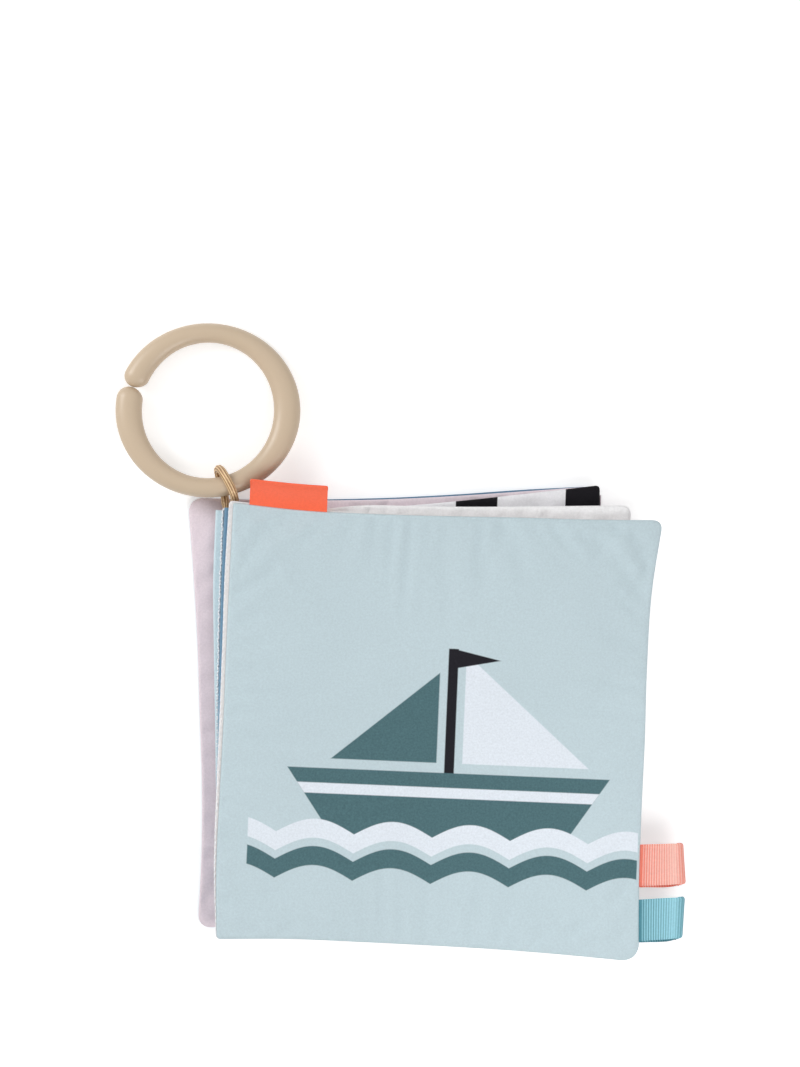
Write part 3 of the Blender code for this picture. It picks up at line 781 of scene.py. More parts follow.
def creased(points, creases):
    """The fall of soft creases, each from a point to a point, with a width and a depth."""
    fall = np.zeros(len(points))
    for start, end, width, depth in creases:
        start = np.array(start)
        way = np.array(end) - start
        share = np.clip((points - start) @ way / (way @ way), 0, 1)
        across = np.linalg.norm(points - start - share[:, None] * way, axis=1) / width
        fade = np.sin(math.pi * share**CREASE_LEAN) ** CREASE_BLUNTNESS
        fall -= depth * (1 - across**2) * np.exp(-(across**2) / 2) * fade
    return fall


class Leaf:
    """A padded leaf: its nodes, its levels, the sides of its two cloths, and its whole spine edge."""

    def __init__(self, title, body, back, face_outline, back_outline, seed):
        self.title = title
        self.body = body
        self.nodes = {1: title + "_face", -1: title + back}
        face_low, face_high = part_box(self.nodes[1])
        back_low, back_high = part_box(self.nodes[-1])
        self.seam = (face_low.z + back_high.z) / 2
        self.crowns = {1: face_high.z - self.seam, -1: self.seam - back_low.z}
        self.sides = {1: sides_of(face_outline), -1: sides_of(back_outline)}
        corners, _, drawn_in = face_outline
        self.spine = side_points(np.array(corners[3]), np.array(corners[0]), drawn_in[3], 0.0, 1.0)
        self.seed = seed
        self.folds = eased_folds(self)

    def surface(self, sign, across, up, inset_more=0.0, less=0.0):
        """The plain padded form of one side, brought in from its edge and towards its seam."""
        flat = patch(self.sides[sign], across, up)
        middle = flat.reshape(-1, 2).mean(axis=0)
        flat = middle + (flat - middle) * (1 - inset_more / (np.ptp(flat[..., 0]) / 2))
        points = flat.reshape(-1, 2)
        inset, walked = depth_inside(points, self.sides[sign])
        height = plump(inset, self.crowns[sign]) - less
        return points, inset, walked, height

    def at(self, points, height, sign):
        return np.column_stack([points, self.seam + sign * height])

    def folds_at(self, sign, across, up):
        """The simulated folds of one side, at shares across and up."""
        fine = through(through(self.folds[sign], FOLD_STEPS).T, FOLD_STEPS).T
        places = np.linspace(0.0, 1.0, len(fine))
        rows = np.stack([np.interp(across, places, row) for row in fine])
        return np.stack([np.interp(up, places, column) for column in rows.T], axis=1).ravel()


# The cloths of a leaf are a little longer than its seam, and are eased into it. A cloth simulation of
# the sewn and filled leaf, ten times as large, gives the folds that this makes.
SIM_SCALE = 10.0
SIM_CELLS = 48
SIM_FRAMES = 20
SIM_START = 0.0003
SIM_SETTINGS = {
    "mass": 0.2,
    "tension_stiffness": 15.0,
    "compression_stiffness": 15.0,
    "shear_stiffness": 5.0,
    "bending_stiffness": 0.4,
    "shrink_min": -0.025,
    "use_pressure": True,
    "uniform_pressure_force": 2.5,
}
FOLD_HEIGHT = 0.00019
FOLD_CAP = 0.00050
FOLD_STEPS = 6


def sewn_sheets(leaf):
    """The points and faces of a leaf's two cloths, joined along the seam, and the seam's points."""
    shares = np.linspace(0.0, 1.0, SIM_CELLS + 1)
    size = SIM_CELLS + 1
    edge = border(size, size)
    sheets = []
    for sign in (1, -1):
        points, inset, _, height = leaf.surface(1, shares, shares)
        height[edge] = 0.0
        uneven = roughness_of(np.column_stack([points, height]), LUMP_SIZE / 2, leaf.seed) * SIM_START
        sheets.append(leaf.at(points, height + uneven * sign * smooth_share(inset / CROWN_REACH), sign))
    count = size * size
    joined = np.arange(2 * count)
    joined[np.array(edge) + count] = edge
    kept, order = np.unique(joined, return_inverse=True)
    faces = quads(size, size) + quads(size, size, count, turned=True)
    faces = [tuple(int(order[corner]) for corner in face) for face in faces]
    return np.concatenate(sheets)[kept], faces, [int(order[i]) for i in edge], order


def eased_folds(leaf):
    """How far each cloth of a leaf stands out of its plain form, on a grid, from the simulation."""
    size = SIM_CELLS + 1
    vertices, faces, seam, order = sewn_sheets(leaf)
    middle = np.array([0.0, 0.0, leaf.seam])
    piece = new_piece("simulated_leaf", (vertices - middle) * SIM_SCALE, faces, CREAM_FINISH)
    piece.vertex_groups.new(name="seam").add(seam, 1.0, "REPLACE")
    cloth = piece.modifiers.new("cloth", "CLOTH")
    settings = cloth.settings
    settings.vertex_group_mass = "seam"
    settings.effector_weights.gravity = 0.0
    for key, value in SIM_SETTINGS.items():
        setattr(settings, key, value)
    cloth.collision_settings.use_collision = False
    cloth.point_cache.frame_start = 1
    cloth.point_cache.frame_end = SIM_FRAMES
    for frame_number in range(1, SIM_FRAMES + 1):
        bpy.context.scene.frame_set(frame_number)
    result = piece.evaluated_get(bpy.context.evaluated_depsgraph_get())
    level = np.array([v.co.z for v in result.data.vertices])[order].reshape(2, size, size) / SIM_SCALE
    bpy.data.objects.remove(piece, do_unlink=True)
    bpy.context.scene.frame_set(1)
    folds = {}
    for sign, sheet in zip((1, -1), level * np.array([1.0, -1.0])[:, None, None]):
        # The plain form looks the same when it is turned over, so the mean of its turns leaves it out.
        halves = (sheet + sheet[::-1]) / 2
        quarters = (halves + halves[:, ::-1]) / 2
        rest = sheet - (quarters + quarters.T) / 2
        folds[sign] = np.tanh(rest / rest.std() * FOLD_HEIGHT / FOLD_CAP) * FOLD_CAP
    return folds


def leaf_cloth(leaf, sign, finish, lumps, creases=(), fuzz=0.0):
    """One cloth of a leaf: padded, folded, puckered along its seam, and turned in at its edge."""
    sides = leaf.sides[sign]
    width, length = (walked_along(side)[-1] for side in sides[:2])
    across = graded_shares(width, LEAF_CELLS)
    up = graded_shares(length, LEAF_CELLS)
    points, inset, walked, height = leaf.surface(sign, across, up)
    rows, columns = len(up), len(across)
    edge = border(rows, columns)
    inset[edge] = 0.0
    height[edge] = 0.0
    off_edge = smooth_share(inset / (2 * RIM_ROUND))
    inner = smooth_share(inset / PUCKER_REACH)
    swell = roughness_of(points, LUMP_SIZE, leaf.seed) + roughness_of(points, LUMP_SIZE / 2.4, leaf.seed) / 3
    pucker = roughness_of(walked[:, None], PUCKER_PITCH, leaf.seed + sign) * np.exp(-inset / PUCKER_REACH)
    moved = swell * lumps * LUMP_HEIGHT * inner + pucker * PUCKER_HEIGHT + leaf.folds_at(sign, across, up)
    height = height + (moved + creased(points, creases)) * off_edge
    if fuzz:
        height = height + roughness_of(points, fuzz, leaf.seed) * fuzz / 4 * off_edge
    vertices = leaf.at(points, height, sign)
    faces = quads(rows, columns, turned=sign < 0)
    middle = points.mean(axis=0)
    rim = points[edge]
    loops = [edge]
    for turned_in in (RIM_ROUND, TURNED_IN):
        loops.append(list(range(len(vertices), len(vertices) + len(edge))))
        drawn = middle + (rim - middle) * (1 - turned_in / (width / 2))
        vertices = np.concatenate([vertices, leaf.at(drawn, np.full(len(edge), TURNED_IN_GAP), sign)])
    for outer, inner_loop in zip(loops, loops[1:]):
        for i in range(len(edge)):
            j = (i + 1) % len(edge)
            face = (outer[j], outer[i], inner_loop[i], inner_loop[j])
            faces.append(face[::-1] if sign < 0 else face)
    insets = np.concatenate([inset, np.zeros(2 * len(edge))])
    made = new_piece(leaf.nodes[sign] + "_cloth", vertices, faces, finish, inset=insets)
    carried(made, leaf.body, leaf.nodes[sign])


def inner_grid(leaf, sign, less):
    shares = np.linspace(0.0, 1.0, INNER_CELLS)
    points, _, _, height = leaf.surface(sign, shares, shares, INNER_INSET, less)
    return leaf.at(points, height, sign), points


def inner_piece(name, upper, lower, finish, leaf, node):
    shape = (INNER_CELLS, INNER_CELLS, 3)
    made = two_sided(name, upper.reshape(shape), lower.reshape(shape), finish)
    carried(made, leaf.body, node)
    return made


def batting(leaf, top_less):
    """Loose batting inside a leaf, with an uneven surface."""
    upper, points = inner_grid(leaf, 1, top_less)
    lower, _ = inner_grid(leaf, -1, CLOTH + GAP)
    upper[:, 2] += (roughness_of(points, LUMP_SIZE / 3, leaf.seed) - 1) * LUMP_HEIGHT / 2
    title = leaf.title
    made = inner_piece(title + "_filling", upper, lower, BATTING_FINISH, leaf, title + "_batting")


def crinkle_film(leaf):
    """Thin film under the face of a leaf, with fine creases."""
    upper, points = inner_grid(leaf, 1, CLOTH + GAP)
    upper[:, 2] -= np.abs(roughness_of(points, LUMP_SIZE / 4, leaf.seed)) * FILM
    lower = upper - np.array([0.0, 0.0, FILM])
    title = leaf.title
    made = inner_piece(title + "_film", upper, lower, FILM_FINISH, leaf, title + "_crinkle_film")


# The creases that show on the cover and along the tops of the leaves behind it
COVER_CREASES = (
    ((0.0190, 0.0705), (0.0170, 0.0560), 0.0024, 0.00042),
    ((0.0560, 0.0690), (0.0470, 0.0560), 0.0028, 0.00034),
    ((-0.0230, 0.0700), (-0.0160, 0.0560), 0.0036, 0.00022),
    ((-0.0560, 0.0600), (-0.0420, 0.0480), 0.0045, 0.00024),
    ((0.0690, -0.0080), (0.0560, -0.0120), 0.0026, 0.00030),
    ((-0.0670, -0.0180), (-0.0560, -0.0220), 0.0035, 0.00024),
    ((0.0300, -0.0700), (0.0240, -0.0600), 0.0030, 0.00022),
    ((-0.0500, -0.0700), (-0.0440, -0.0620), 0.0030, 0.00020),
)
CHECK_CREASES = (
    ((0.0080, 0.0745), (0.0060, 0.0680), 0.0022, 0.00030),
    ((0.0300, 0.0775), (0.0290, 0.0700), 0.0026, 0.00030),
)
REAR_CREASES = (
    ((-0.0190, 0.0745), (-0.0200, 0.0690), 0.0012, 0.00045),
    ((0.0190, 0.0775), (0.0175, 0.0720), 0.0014, 0.00050),
    ((-0.0700, 0.0300), (-0.0780, 0.0240), 0.0040, 0.00030),
)
FLEECE_CREASES = (((-0.0250, 0.0715), (-0.0250, 0.0620), 0.0009, 0.00050),)
FUZZ = 0.0012
# The share of the lumps that shows on the calmer cloths
CALM = 0.3

cover = Leaf("front_cover", "front_cover", "_lining", COVER_OUTLINE, LINING_OUTLINE, seed=1.3)
fleece_page = Leaf("fleece_page", "fleece_page", "_back", FLEECE_OUTLINE, FLEECE_OUTLINE, seed=4.1)
check_page = Leaf("check_page", "bound_page", "_back", CHECK_OUTLINE, CHECK_OUTLINE, seed=7.7)
rear_page = Leaf("rear_page", "rear_page", "_back", REAR_FACE_OUTLINE, REAR_OUTLINE, seed=9.2)

leaf_cloth(cover, 1, COVER_FINISH, 1.0, COVER_CREASES)
leaf_cloth(cover, -1, CREAM_FINISH, CALM)
leaf_cloth(fleece_page, 1, FLEECE_FINISH, CALM, FLEECE_CREASES, FUZZ)
leaf_cloth(fleece_page, -1, FLEECE_FINISH, CALM, fuzz=FUZZ)
leaf_cloth(check_page, 1, CHECK_FINISH, CALM, CHECK_CREASES)
leaf_cloth(check_page, -1, CHECK_FINISH, CALM)
leaf_cloth(rear_page, 1, LILAC_FINISH, CALM, REAR_CREASES)
leaf_cloth(rear_page, -1, DUSTY_FINISH, CALM)
for leaf, filmed in ((cover, True), (fleece_page, False), (check_page, True), (rear_page, True)):
    if filmed:
        crinkle_film(leaf)
    batting(leaf, CLOTH + GAP + (FILM + GAP if filmed else 0.0))


# Spine
LEG_POINTS = 6
BEND_POINTS = 11
TAPE_EDGE_WAVE = 0.07
WEB_POINTS = 10
WEB_UNDER = 0.0004
WEB_BULGE = 0.0004
WEB_MARGIN = 0.0035
FOLD_BULGE = 0.0008
FOLD_FROM_SHARE = 0.02
TAPED = GAP + TAPE_CLOTH + WEB_CLOTH


def side_line(side, shares):
    """Points along a side of a leaf, and the way out of the leaf at each."""
    line = along(side, shares)
    way = unit(np.gradient(line, axis=0))
    return line, np.column_stack([way[:, 1], -way[:, 0]])


def spine_edge(leaf, sign, levels):
    """How far across the spine edge of a leaf lies, at levels along the spine."""
    side = leaf.sides[sign][3][::-1]
    return np.interp(levels, side[:, 1], side[:, 0])


def placed(line, outward, section, level):
    """A grid of points: at each point of a line, a section given as rows of (out, up)."""
    section = np.broadcast_to(section, (len(line), *section.shape[-2:]))
    flat = line[:, None] + outward[:, None] * section[..., :1]
    return np.concatenate([flat, level + section[..., 1:]], axis=2)


def spine_tape(name, leaf, finish, node):
    """Tape folded over the whole spine edge of a leaf, past its rounded corners."""
    line, outward = side_line(leaf.spine, np.linspace(0.0, 1.0, SPINE_STATIONS))
    off = GAP + TAPE_CLOTH / 2
    legs = TAPE_LEG * (1 + TAPE_EDGE_WAVE * roughness_of(line, PUCKER_PITCH, leaf.seed))
    inward = np.linspace(1.0, 0.0, LEG_POINTS, endpoint=False)[None, :] * legs[:, None]
    turn = np.linspace(math.pi / 2, -math.pi / 2, BEND_POINTS)
    bend = np.column_stack([off * np.cos(turn), (RIM_HEIGHT + off) * np.sin(turn)])
    upper = np.stack([-inward, plump(inward, leaf.crowns[1]) + off], axis=2)
    lower = np.stack([-inward, -plump(inward, leaf.crowns[-1]) - off], axis=2)[:, ::-1]
    bends = np.broadcast_to(bend, (len(line), *bend.shape))
    section = np.concatenate([upper, bends, lower], axis=1)
    made = thickened(name, placed(line, outward, section, leaf.seam), TAPE_CLOTH, finish)
    carried(made, leaf.body, node)


def hinge_cloth(name, surface, finish):
    """A cloth between two leaves, from one level to another, which rides on neither of them."""
    made = thickened(name, surface, WEB_CLOTH, finish)
    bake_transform(made)


def web(name, lower, upper, upper_tape, finish):
    """The cloth hinge between two leaves at the spine, hidden under the edge of the upper one."""
    ends = [leaf.sides[sign][3][:, 1] for leaf, sign in ((lower, 1), (upper, -1))]
    top = min(end.max() for end in ends) - WEB_MARGIN
    bottom = max(end.min() for end in ends) + WEB_MARGIN
    levels = np.linspace(top, bottom, SPINE_STATIONS)
    low_edge = spine_edge(lower, 1, levels)
    tucked = spine_edge(upper, -1, levels) + WEB_UNDER
    # The lower end lies on the lower leaf's tape, or at its edge where the upper leaf reaches past it.
    reach = np.clip(low_edge - tucked, -TAPE_LEG, TAPED)
    low_level = lower.seam + plump(np.clip(-reach, 0, None), lower.crowns[1]) + TAPED
    low_level -= np.clip(reach, 0, None)
    high_level = upper.seam - plump(np.full(len(levels), WEB_UNDER), upper.crowns[-1]) - upper_tape
    share = np.linspace(0.0, 1.0, WEB_POINTS)
    across = lerp((low_edge - reach)[:, None], tucked[:, None], smooth_share(share)[None, :])
    across -= np.sin(math.pi * share)[None, :] * WEB_BULGE
    level = lerp(low_level[:, None], high_level[:, None], share[None, :])
    surface = np.stack([across, np.broadcast_to(levels[:, None], across.shape), level], axis=2)
    hinge_cloth(name, surface, finish)


def fore_edge_fold(name, lower, upper, finish):
    shares = np.linspace(FOLD_FROM_SHARE, 1 - FOLD_FROM_SHARE, SPINE_STATIONS)
    low_line, _ = side_line(lower.sides[1][1], shares)
    high_line, high_out = side_line(upper.sides[1][1], shares)
    share = np.linspace(0.0, 1.0, WEB_POINTS)
    flat = lerp(high_line[:, None], low_line[:, None], share[None, :, None])
    flat = flat + high_out[:, None] * (GAP + np.sin(math.pi * share) * FOLD_BULGE)[None, :, None]
    level = lerp(upper.seam, lower.seam, share)
    surface = np.concatenate([flat, np.broadcast_to(level, flat.shape[:2])[..., None]], axis=2)
    hinge_cloth(name, surface, finish)


spine_tape("upper_spine_tape", fleece_page, DUSTY_FINISH, "spine_tape_upper")
spine_tape("lower_spine_tape", check_page, TAPE_FINISH, "spine_tape_lower")
web("upper_spine_hinge_cloth", fleece_page, cover, WEB_CLOTH, DUSTY_FINISH)
web("lower_spine_hinge_cloth", check_page, fleece_page, TAPED, TAPE_FINISH)
fore_edge_fold("fore_edge_fold_cloth", rear_page, check_page, LILAC_FINISH)


# Stitches
STITCH_SIDES = 8
STITCH_RINGS = 7
STITCH_END_SHARE = 0.45
STITCH_SEED = 5
ZIGZAG_PITCH = 0.0011
ZIGZAG_NEAR = 0.0010
ZIGZAG_FAR = 0.0014
ZIGZAG_TO_SHARE = 0.66
RUNNING_PITCH = 0.0021
RUNNING_LENGTH = 0.0013
RUNNING_INSET = 0.00020
RUNNING_THICKNESS = 0.00034
RUNNING_FROM_SHARE = 0.01
STITCH_JITTER = 0.00012


def stitch(start, end, thickness, lift):
    """The points of one stitch, which rises out of the cloth and goes back into it."""
    way = end - start
    across = unit(np.array([-way[1], way[0], 0.0]))
    points = []
    for share in np.linspace(0.0, 1.0, STITCH_RINGS):
        arch = math.sin(math.pi * share)
        middle = start + way * share + np.array([0.0, 0.0, lift * (arch - 1 / 2)])
        radius = thickness / 2 * lerp(STITCH_END_SHARE, 1.0, math.sqrt(arch))
        for side in range(STITCH_SIDES):
            turn = 2 * math.pi * side / STITCH_SIDES
            points.append(middle + (across * math.cos(turn) + np.array([0, 0, 1]) * math.sin(turn)) * radius)
    return points


def stitch_row(name, spans, thickness, body, node=None):
    """Separate stitches, each from a start to an end, as one piece."""
    vertices = []
    faces = []
    for start, end in spans:
        faces += closed_tube(STITCH_RINGS, STITCH_SIDES, len(vertices))
        vertices += stitch(start, end, thickness, thickness / 2)
    carried(new_piece(name, vertices, faces, THREAD_FINISH), body, node)


def zigzag_row(sewing):
    """The zigzag along the upper part of the spine, which holds the lower tape to its page."""
    spine = fleece_page.sides[1][3]
    length = np.linalg.norm(spine[-1] - spine[0])
    count = int(length * ZIGZAG_TO_SHARE / ZIGZAG_PITCH)
    line, outward = side_line(spine, np.arange(count + 1) * ZIGZAG_PITCH / length)
    corners = []
    for i in range(count + 1):
        out = (ZIGZAG_NEAR, ZIGZAG_FAR)[i % 2] + sewing.uniform(-1, 1) * STITCH_JITTER
        x, y = line[i] + outward[i] * out
        inset = x - spine_edge(check_page, 1, y)
        level = check_page.seam + plump(inset, check_page.crowns[1]) + GAP + TAPE_CLOTH
        corners.append(np.array([x, y, level + STITCH_THICKNESS / 3]))
    spans = zip(corners, corners[1:])
    stitch_row("spine_zigzag_stitches", spans, STITCH_THICKNESS, "bound_page", "spine_stitching")


def running_row(sewing):
    """The running stitches along the spine edge of the cover's lining."""
    spine = cover.sides[-1][3]
    count = int(np.linalg.norm(spine[-1] - spine[0]) / RUNNING_PITCH)
    line, outward = side_line(spine, np.linspace(RUNNING_FROM_SHARE, 1 - RUNNING_FROM_SHARE, count))
    level = cover.seam + TURNED_IN_GAP
    spans = []
    for place, out in zip(line, outward):
        way = np.array([out[1], -out[0]]) * RUNNING_LENGTH / 2
        middle = place - out * (RUNNING_INSET + sewing.uniform(-1, 1) * STITCH_JITTER / 2)
        spans.append((np.array([*(middle - way), level]), np.array([*(middle + way), level])))
    stitch_row("cover_edge_stitches", spans, RUNNING_THICKNESS, "front_cover")


sewing_chance = random.Random(STITCH_SEED)
zigzag_row(sewing_chance)
running_row(sewing_chance)


# Ribbons and label
RIBBON_COLUMNS = 30
EDGE_CROWDING = 0.8
LEG_STEPS = 40
TURN_STEPS = 18
SELVEDGE_SHARE = 1.25
SELVEDGE_REACH = 0.0007
RIBBON_SKEW = 0.0011
# Painted shade on the ribbons at shares of their reach: over the whole cloth, in the grooves, and on the
# lower leg
SHADE_AT_REACH = (-0.05, 0.0, 0.05, 0.15, 0.30, 0.60, 0.78, 0.90, 1.0)
SEAM_AND_FOLD_SHADE = (0.9, 0.45, 0.20, 0.08, 0.03, 0.0, 0.03, 0.15, 0.35)
GROOVE_SHADE = (0.2, 0.6, 0.75, 0.80, 0.80, 0.65, 0.25, 0.6, 0.5)
UNDER_LEG_SHADE = 0.8
RIBBON_SAG = 0.0003
RIBBON_STEPS_PER_RIB = 6
SEAM_SAMPLES = 200
PLACE_SAMPLES = 5
SKEW_POWER = 4
ROUND_POWER = 6
LABEL_SLANT = 0.02
# Where each ribbon's middle lies along the seam, how far it turns, and how its length grows along the seam
RIBBON_TURNS = {"coral_ribbon": (-0.0413, 4.8, -0.09), "teal_ribbon": (-0.0592, 6.4, 0.06)}
CORNER_ROUND = 0.0010
CORNER_NARROWING = 0.3
LABEL_ROUND = 0.0005
LABEL_SEWN = 0.0001


def loop_path(length, opening, pinch, rise, clearance):
    """The middle line of a folded ribbon as (out, up), from inside the seam round the fold and back."""
    fold = opening / 2
    leg = length - fold
    share = np.linspace(0.0, 1.0, LEG_STEPS, endpoint=False)
    spread = lerp(pinch / 2, fold, smooth_share(share))
    tuck = np.array([[-clearance - SEWN_TUCK, -pinch / 4], [-clearance, -pinch / 3]])
    lower = np.concatenate([tuck, np.column_stack([leg * share, -spread])])
    turn = np.linspace(-math.pi / 2, math.pi / 2, TURN_STEPS)
    bend = np.column_stack([leg + fold * np.cos(turn), fold * np.sin(turn)])
    upper = lower[::-1] * (1, -1)
    path = np.concatenate([lower, bend, upper])
    path[:, 1] += rise * (np.clip(path[:, 0], 0, None) / length) ** 2
    return path


def ribbon(name, places, out, path, cloth, ribs, slant, skew, rounded, finish, node):
    """A folded ribbon whose base stays in the seam.

    Its length grows along the seam by the slant and its lower leg lies to one side by the skew. Its
    fold draws back at its ends by the rounding.
    """
    length = walked_along(path)[-1]
    fine = along(path, np.linspace(0.0, 1.0, int(length / (RIB_PITCH / RIBBON_STEPS_PER_RIB))))
    walked = np.linspace(0.0, length, len(fine))
    share = np.linspace(0.0, 1.0, RIBBON_COLUMNS)
    across = lerp(share, smooth_share(share), EDGE_CROWDING)
    places = along(places, across)
    width = np.linalg.norm(places[-1] - places[0])
    side = (places[-1] - places[0]) / width
    reach = fine[:, 0] / fine[:, 0].max()
    past = np.clip(reach, 0, 1)
    grown = 1 + slant * (across[:, None] - 1 / 2) * past
    below = np.clip(-fine[:, 1] / np.abs(fine[:, 1]).max(), 0, 1)
    aside = -skew * np.sqrt(below) * (1 - past**SKEW_POWER)
    sag = RIBBON_SAG * np.sin(math.pi * across)[:, None] * past
    from_edge = np.minimum(across, 1 - across) * width
    drawn = rounded * (1 - np.sqrt(1 - np.clip(1 - from_edge / rounded, 0, 1) ** 2))
    drawn = drawn[:, None] * past**ROUND_POWER
    surface = places[:, None] + np.array(out) * (fine[:, 0] * grown - drawn)[..., None]
    narrowed = np.sign(1 / 2 - across)[:, None] * drawn * CORNER_NARROWING
    surface = surface + side * (aside + narrowed)[..., None]
    surface[..., 2] += fine[:, 1] + sag * np.sign(fine[:, 1])
    selvedge = lerp(SELVEDGE_SHARE, 1.0, smooth_share(from_edge / SELVEDGE_REACH))
    rib = (1 + np.cos(2 * math.pi * walked / RIB_PITCH)) / 2
    thick = selvedge[:, None] * (cloth + ribs * (2 * rib - 1))
    # Painted shade: the ribbon is darker where it comes out of the seam, round its fold and on its lower
    # leg, and darker in its grooves, most near the seam and the fold.
    shaded = np.interp(reach, SHADE_AT_REACH, SEAM_AND_FOLD_SHADE) + below * UNDER_LEG_SHADE
    hollow = np.clip(shaded + (1 - rib) * np.interp(reach, SHADE_AT_REACH, GROOVE_SHADE), 0, 1)
    made = thickened(name, surface, thick, finish, hollow=np.broadcast_to(hollow, thick.shape))
    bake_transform(made)
    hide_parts(node)


def seam_places(side, axis, low, high, stand_off):
    """Points along a seam of the cover, between two places on an axis, at a stand-off from it."""
    seam = along(side, np.linspace(0.0, 1.0, SEAM_SAMPLES))
    levels = np.linspace(low, high, PLACE_SAMPLES)
    other = np.interp(levels, seam[:, axis], seam[:, 1 - axis]) + stand_off
    ordered = (levels, other) if axis == 0 else (other, levels)
    return np.column_stack([*ordered, np.full(PLACE_SAMPLES, cover.seam)])


def ribbon_loops():
    path = loop_path(RIBBON_LENGTH, RIBBON_OPENING, RIBBON_PINCH, 0.0, SEWN_CLEARANCE)
    half = RIBBON_WIDTH / 2
    for title, (level, turn, slant) in RIBBON_TURNS.items():
        places = seam_places(cover.sides[1][1], 1, level - half, level + half, SEWN_CLEARANCE)
        out = (math.cos(math.radians(turn)), math.sin(math.radians(turn)), 0.0)
        ribbon(
            title + "_loop_cloth", places, out, path, RIBBON_CLOTH, RIB_HEIGHT, slant, RIBBON_SKEW,
            CORNER_ROUND, RIBBON_FINISHES[title], title + "_loop",
        )


def label_tab():
    low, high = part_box("label_tab")
    places = seam_places(cover.sides[1][2][::-1], 0, low.x, high.x, LABEL_SEWN)
    path = loop_path(LABEL_LENGTH, RIBBON_PINCH, RIBBON_PINCH, LABEL_RISE, LABEL_SEWN)
    ribbon(
        "label_tab_cloth", places, (0.0, 1.0, 0.0), path, LABEL_CLOTH, 0.0, LABEL_SLANT, 0.0, LABEL_ROUND,
        LABEL_FINISH, "label_tab",
    )


ribbon_loops()
label_tab()


# Elastic loop
BRAID_SIDES = 40
BRAID_STEPS = 24
BRAID_RIBS = 9
BRAID_TWIST = 0.0300
BRAID_CROSSING = 0.0011
BRAID_DEPTH = 0.13
CROSSING_DEPTH = 0.14
ELASTIC_END_SHARE = 0.5


def tube_frames(path):
    """Two unit vectors across a path at each of its points, carried along it without twisting."""
    tangent = unit(np.gradient(path, axis=0))
    across = np.cross(tangent[0], (0.0, 0.0, 1.0))
    frames = []
    for way in tangent:
        across = unit(across - way * (across @ way))
        frames.append((across, np.cross(way, across)))
    return frames


def elastic_loop():
    path = through(ELASTIC_ROUTE, BRAID_STEPS)
    walked = walked_along(path)
    length = walked[-1]
    from_end = np.minimum(walked, length - walked)
    taper = lerp(ELASTIC_END_SHARE, 1.0, smooth_share(from_end / ELASTIC_DIAMETER))
    turn = np.linspace(0.0, 2 * math.pi, BRAID_SIDES, endpoint=False)
    vertices = []
    hollows = []
    for place, (across, up), share, far in zip(path, tube_frames(path), taper, walked):
        drift = 2 * math.pi * far / BRAID_TWIST
        crossing = math.cos(2 * math.pi * far / BRAID_CROSSING)
        rib = (1 + np.cos(BRAID_RIBS * turn + drift)) / 2
        crossed = crossing * np.cos(BRAID_RIBS * turn / 2)
        # How deep each point lies in the braid's grooves, which sinks the cord there and also gives its
        # painted shade
        hollow = 1 - rib * lerp(1.0, crossed, CROSSING_DEPTH)
        radius = ELASTIC_DIAMETER / 2 * share * (1 - BRAID_DEPTH * hollow)
        ring = np.cos(turn)[:, None] * across + np.sin(turn)[:, None] * up
        vertices.append(place + ring * radius[:, None])
        hollows.append(hollow)
    faces = closed_tube(len(path), BRAID_SIDES)
    hollow = np.concatenate(hollows)
    made = new_piece("gold_elastic_loop", np.concatenate(vertices), faces, BRAID_FINISH, hollow=hollow)
    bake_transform(made)
    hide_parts("elastic_loop")


elastic_loop()

# Clip ring
RING_SECTIONS = 240
RING_SIDES = 40
CAP_RINGS = 10
CAP_REACH = 0.92


def ellipse_radius(across, angle):
    return 1 / math.hypot(math.cos(angle) / (across[0] / 2), math.sin(angle) / (across[1] / 2))


def ring_section(angle, thick=1.0):
    """A section of the bar: its angle, middle radius, half width and half height."""
    outer = ellipse_radius(RING_ACROSS, angle)
    inner = ellipse_radius(RING_BORE, angle)
    return angle, (outer + inner) / 2, (outer - inner) / 2 * thick, RING_BAR_HEIGHT / 2 * thick


def clip_ring():
    gap = math.radians(RING_GAP_DEGREES)
    _, middle, half, _ = ring_section(gap)
    ends = (RING_TIP_GAP / 2 + CAP_REACH * half) / middle
    start = gap - ends
    bar = [ring_section(angle) for angle in np.linspace(start, gap + ends - 2 * math.pi, RING_SECTIONS)]
    caps = []
    for end, way in ((bar[0][0], 1), (bar[-1][0], -1)):
        cap = []
        for step in range(1, CAP_RINGS + 1):
            round_out = math.pi / 2 * step / (CAP_RINGS + 1 / 2)
            reach = way * CAP_REACH * half / middle * math.sin(round_out)
            cap.append(ring_section(end + reach, math.cos(round_out)))
        caps.append(cap)
    sections = caps[0][::-1] + bar + caps[1]
    phases = np.linspace(0.0, 2 * math.pi, RING_SIDES, endpoint=False)
    from_seam = np.degrees(np.abs(np.arcsin(np.sin(phases))))
    parting = PARTING_DEPTH * np.exp(-((from_seam / PARTING_WIDTH_DEGREES) ** 2))
    vertices = []
    for angle, middle, half, high in sections:
        reach = middle + (half - parting) * np.cos(phases)
        vertices.append(
            np.column_stack([reach * math.cos(angle), reach * math.sin(angle), high * np.sin(phases)])
        )
    lean = Vector((0.0, 0.0, 1.0)).rotation_difference(Vector(RING_UP)).to_matrix()
    vertices = np.concatenate(vertices) @ np.array(lean).T + np.array(RING_PLACE)
    faces = closed_tube(len(sections), RING_SIDES)
    carried(new_piece("beige_clip_ring", vertices, faces, RING_FINISH), "ring", "clip_ring")


clip_ring()


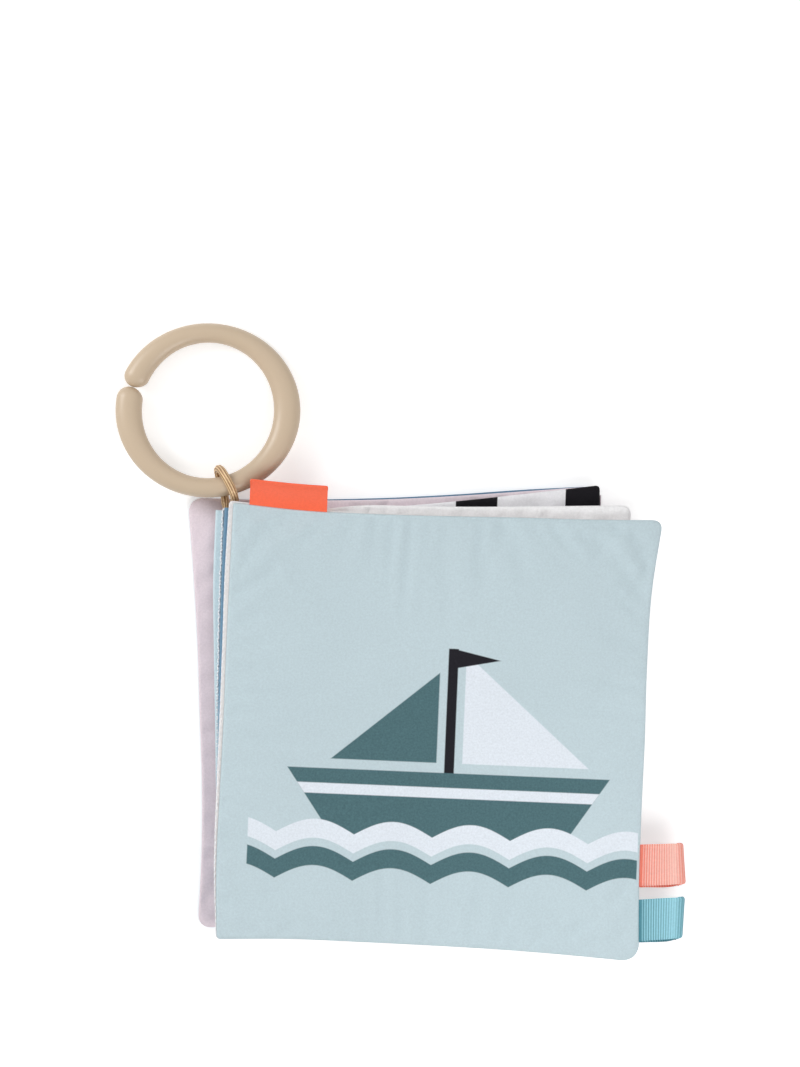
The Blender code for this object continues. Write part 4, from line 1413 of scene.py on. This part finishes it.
# Floor, light and camera
def seen_plainly(tree):
    """1 for rays from the camera, also by way of something clear or glossy, and 0 for those of light."""
    path = tree.nodes.new("ShaderNodeLightPath").outputs
    seen = path["Is Camera Ray"]
    for other in ("Is Glossy Ray", "Is Transmission Ray"):
        either = tree.nodes.new("ShaderNodeMath")
        either.operation = "MAXIMUM"
        tree.links.new(seen, either.inputs[0])
        tree.links.new(path[other], either.inputs[1])
        seen = either.outputs[0]
    return seen


def floor():
    half = FLOOR_SIZE / 2
    corners = [(x, y, -FLOOR_LIFT) for x, y in ((-half, -half), (half, -half), (half, half), (-half, half))]
    finish = Finish("white_floor", {"Emission Color": (1.0, 1.0, 1.0, 1.0)})
    grain = finish.noise(FLOOR_GRAIN)
    colour = finish.shade(FLOOR_WHITE, finish.spread(grain, 0.985, 1.0))
    finish.use(colour, (grain, 0.7, 0.8), (grain, FLOOR_DEPTH, 0.2))
    glow = finish.math("MULTIPLY", seen_plainly(finish.tree), FLOOR_GLOW)
    finish.tree.links.new(glow, finish.shader.inputs["Emission Strength"])
    new_piece("floor", corners, [(0, 1, 2, 3)], finish.material)


def light():
    for number, (place, size, power) in enumerate(LAMPS):
        data = bpy.data.lights.new(f"softbox_{number}", "AREA")
        data.shape = "SQUARE"
        data.size = size
        data.energy = power
        lamp = linked(data.name, data)
        lamp.location = place
        aim = Vector((*VIEW_CENTRE, 0.0)) - Vector(place)
        lamp.rotation_euler = aim.to_track_quat("-Z", "Y").to_euler()
    world = bpy.data.worlds.new("studio")
    world.use_nodes = True
    tree = world.node_tree
    background = tree.nodes["Background"]
    background.inputs["Color"].default_value = (1.0, 1.0, 1.0, 1.0)
    level = tree.nodes.new("ShaderNodeMix")
    level.inputs[2].default_value = WORLD_STRENGTH
    level.inputs[3].default_value = 1.0
    tree.links.new(seen_plainly(tree), level.inputs[0])
    tree.links.new(level.outputs[0], background.inputs["Strength"])
    bpy.context.scene.world = world


def camera():
    data = bpy.data.cameras.new("camera")
    data.lens = VIEW_LENS
    data.sensor_width = SENSOR
    data.clip_end = VIEW_REACH
    made = linked("camera", data)
    made.location = (*VIEW_CENTRE, cover.seam + VIEW_HEIGHT * VIEW_LENS / SENSOR)
    made.rotation_euler = (0.0, 0.0, math.radians(VIEW_TURN_DEGREES))
    bpy.context.scene.camera = made


floor()
light()
camera()
bpy.context.scene.view_settings.view_transform = "Standard"
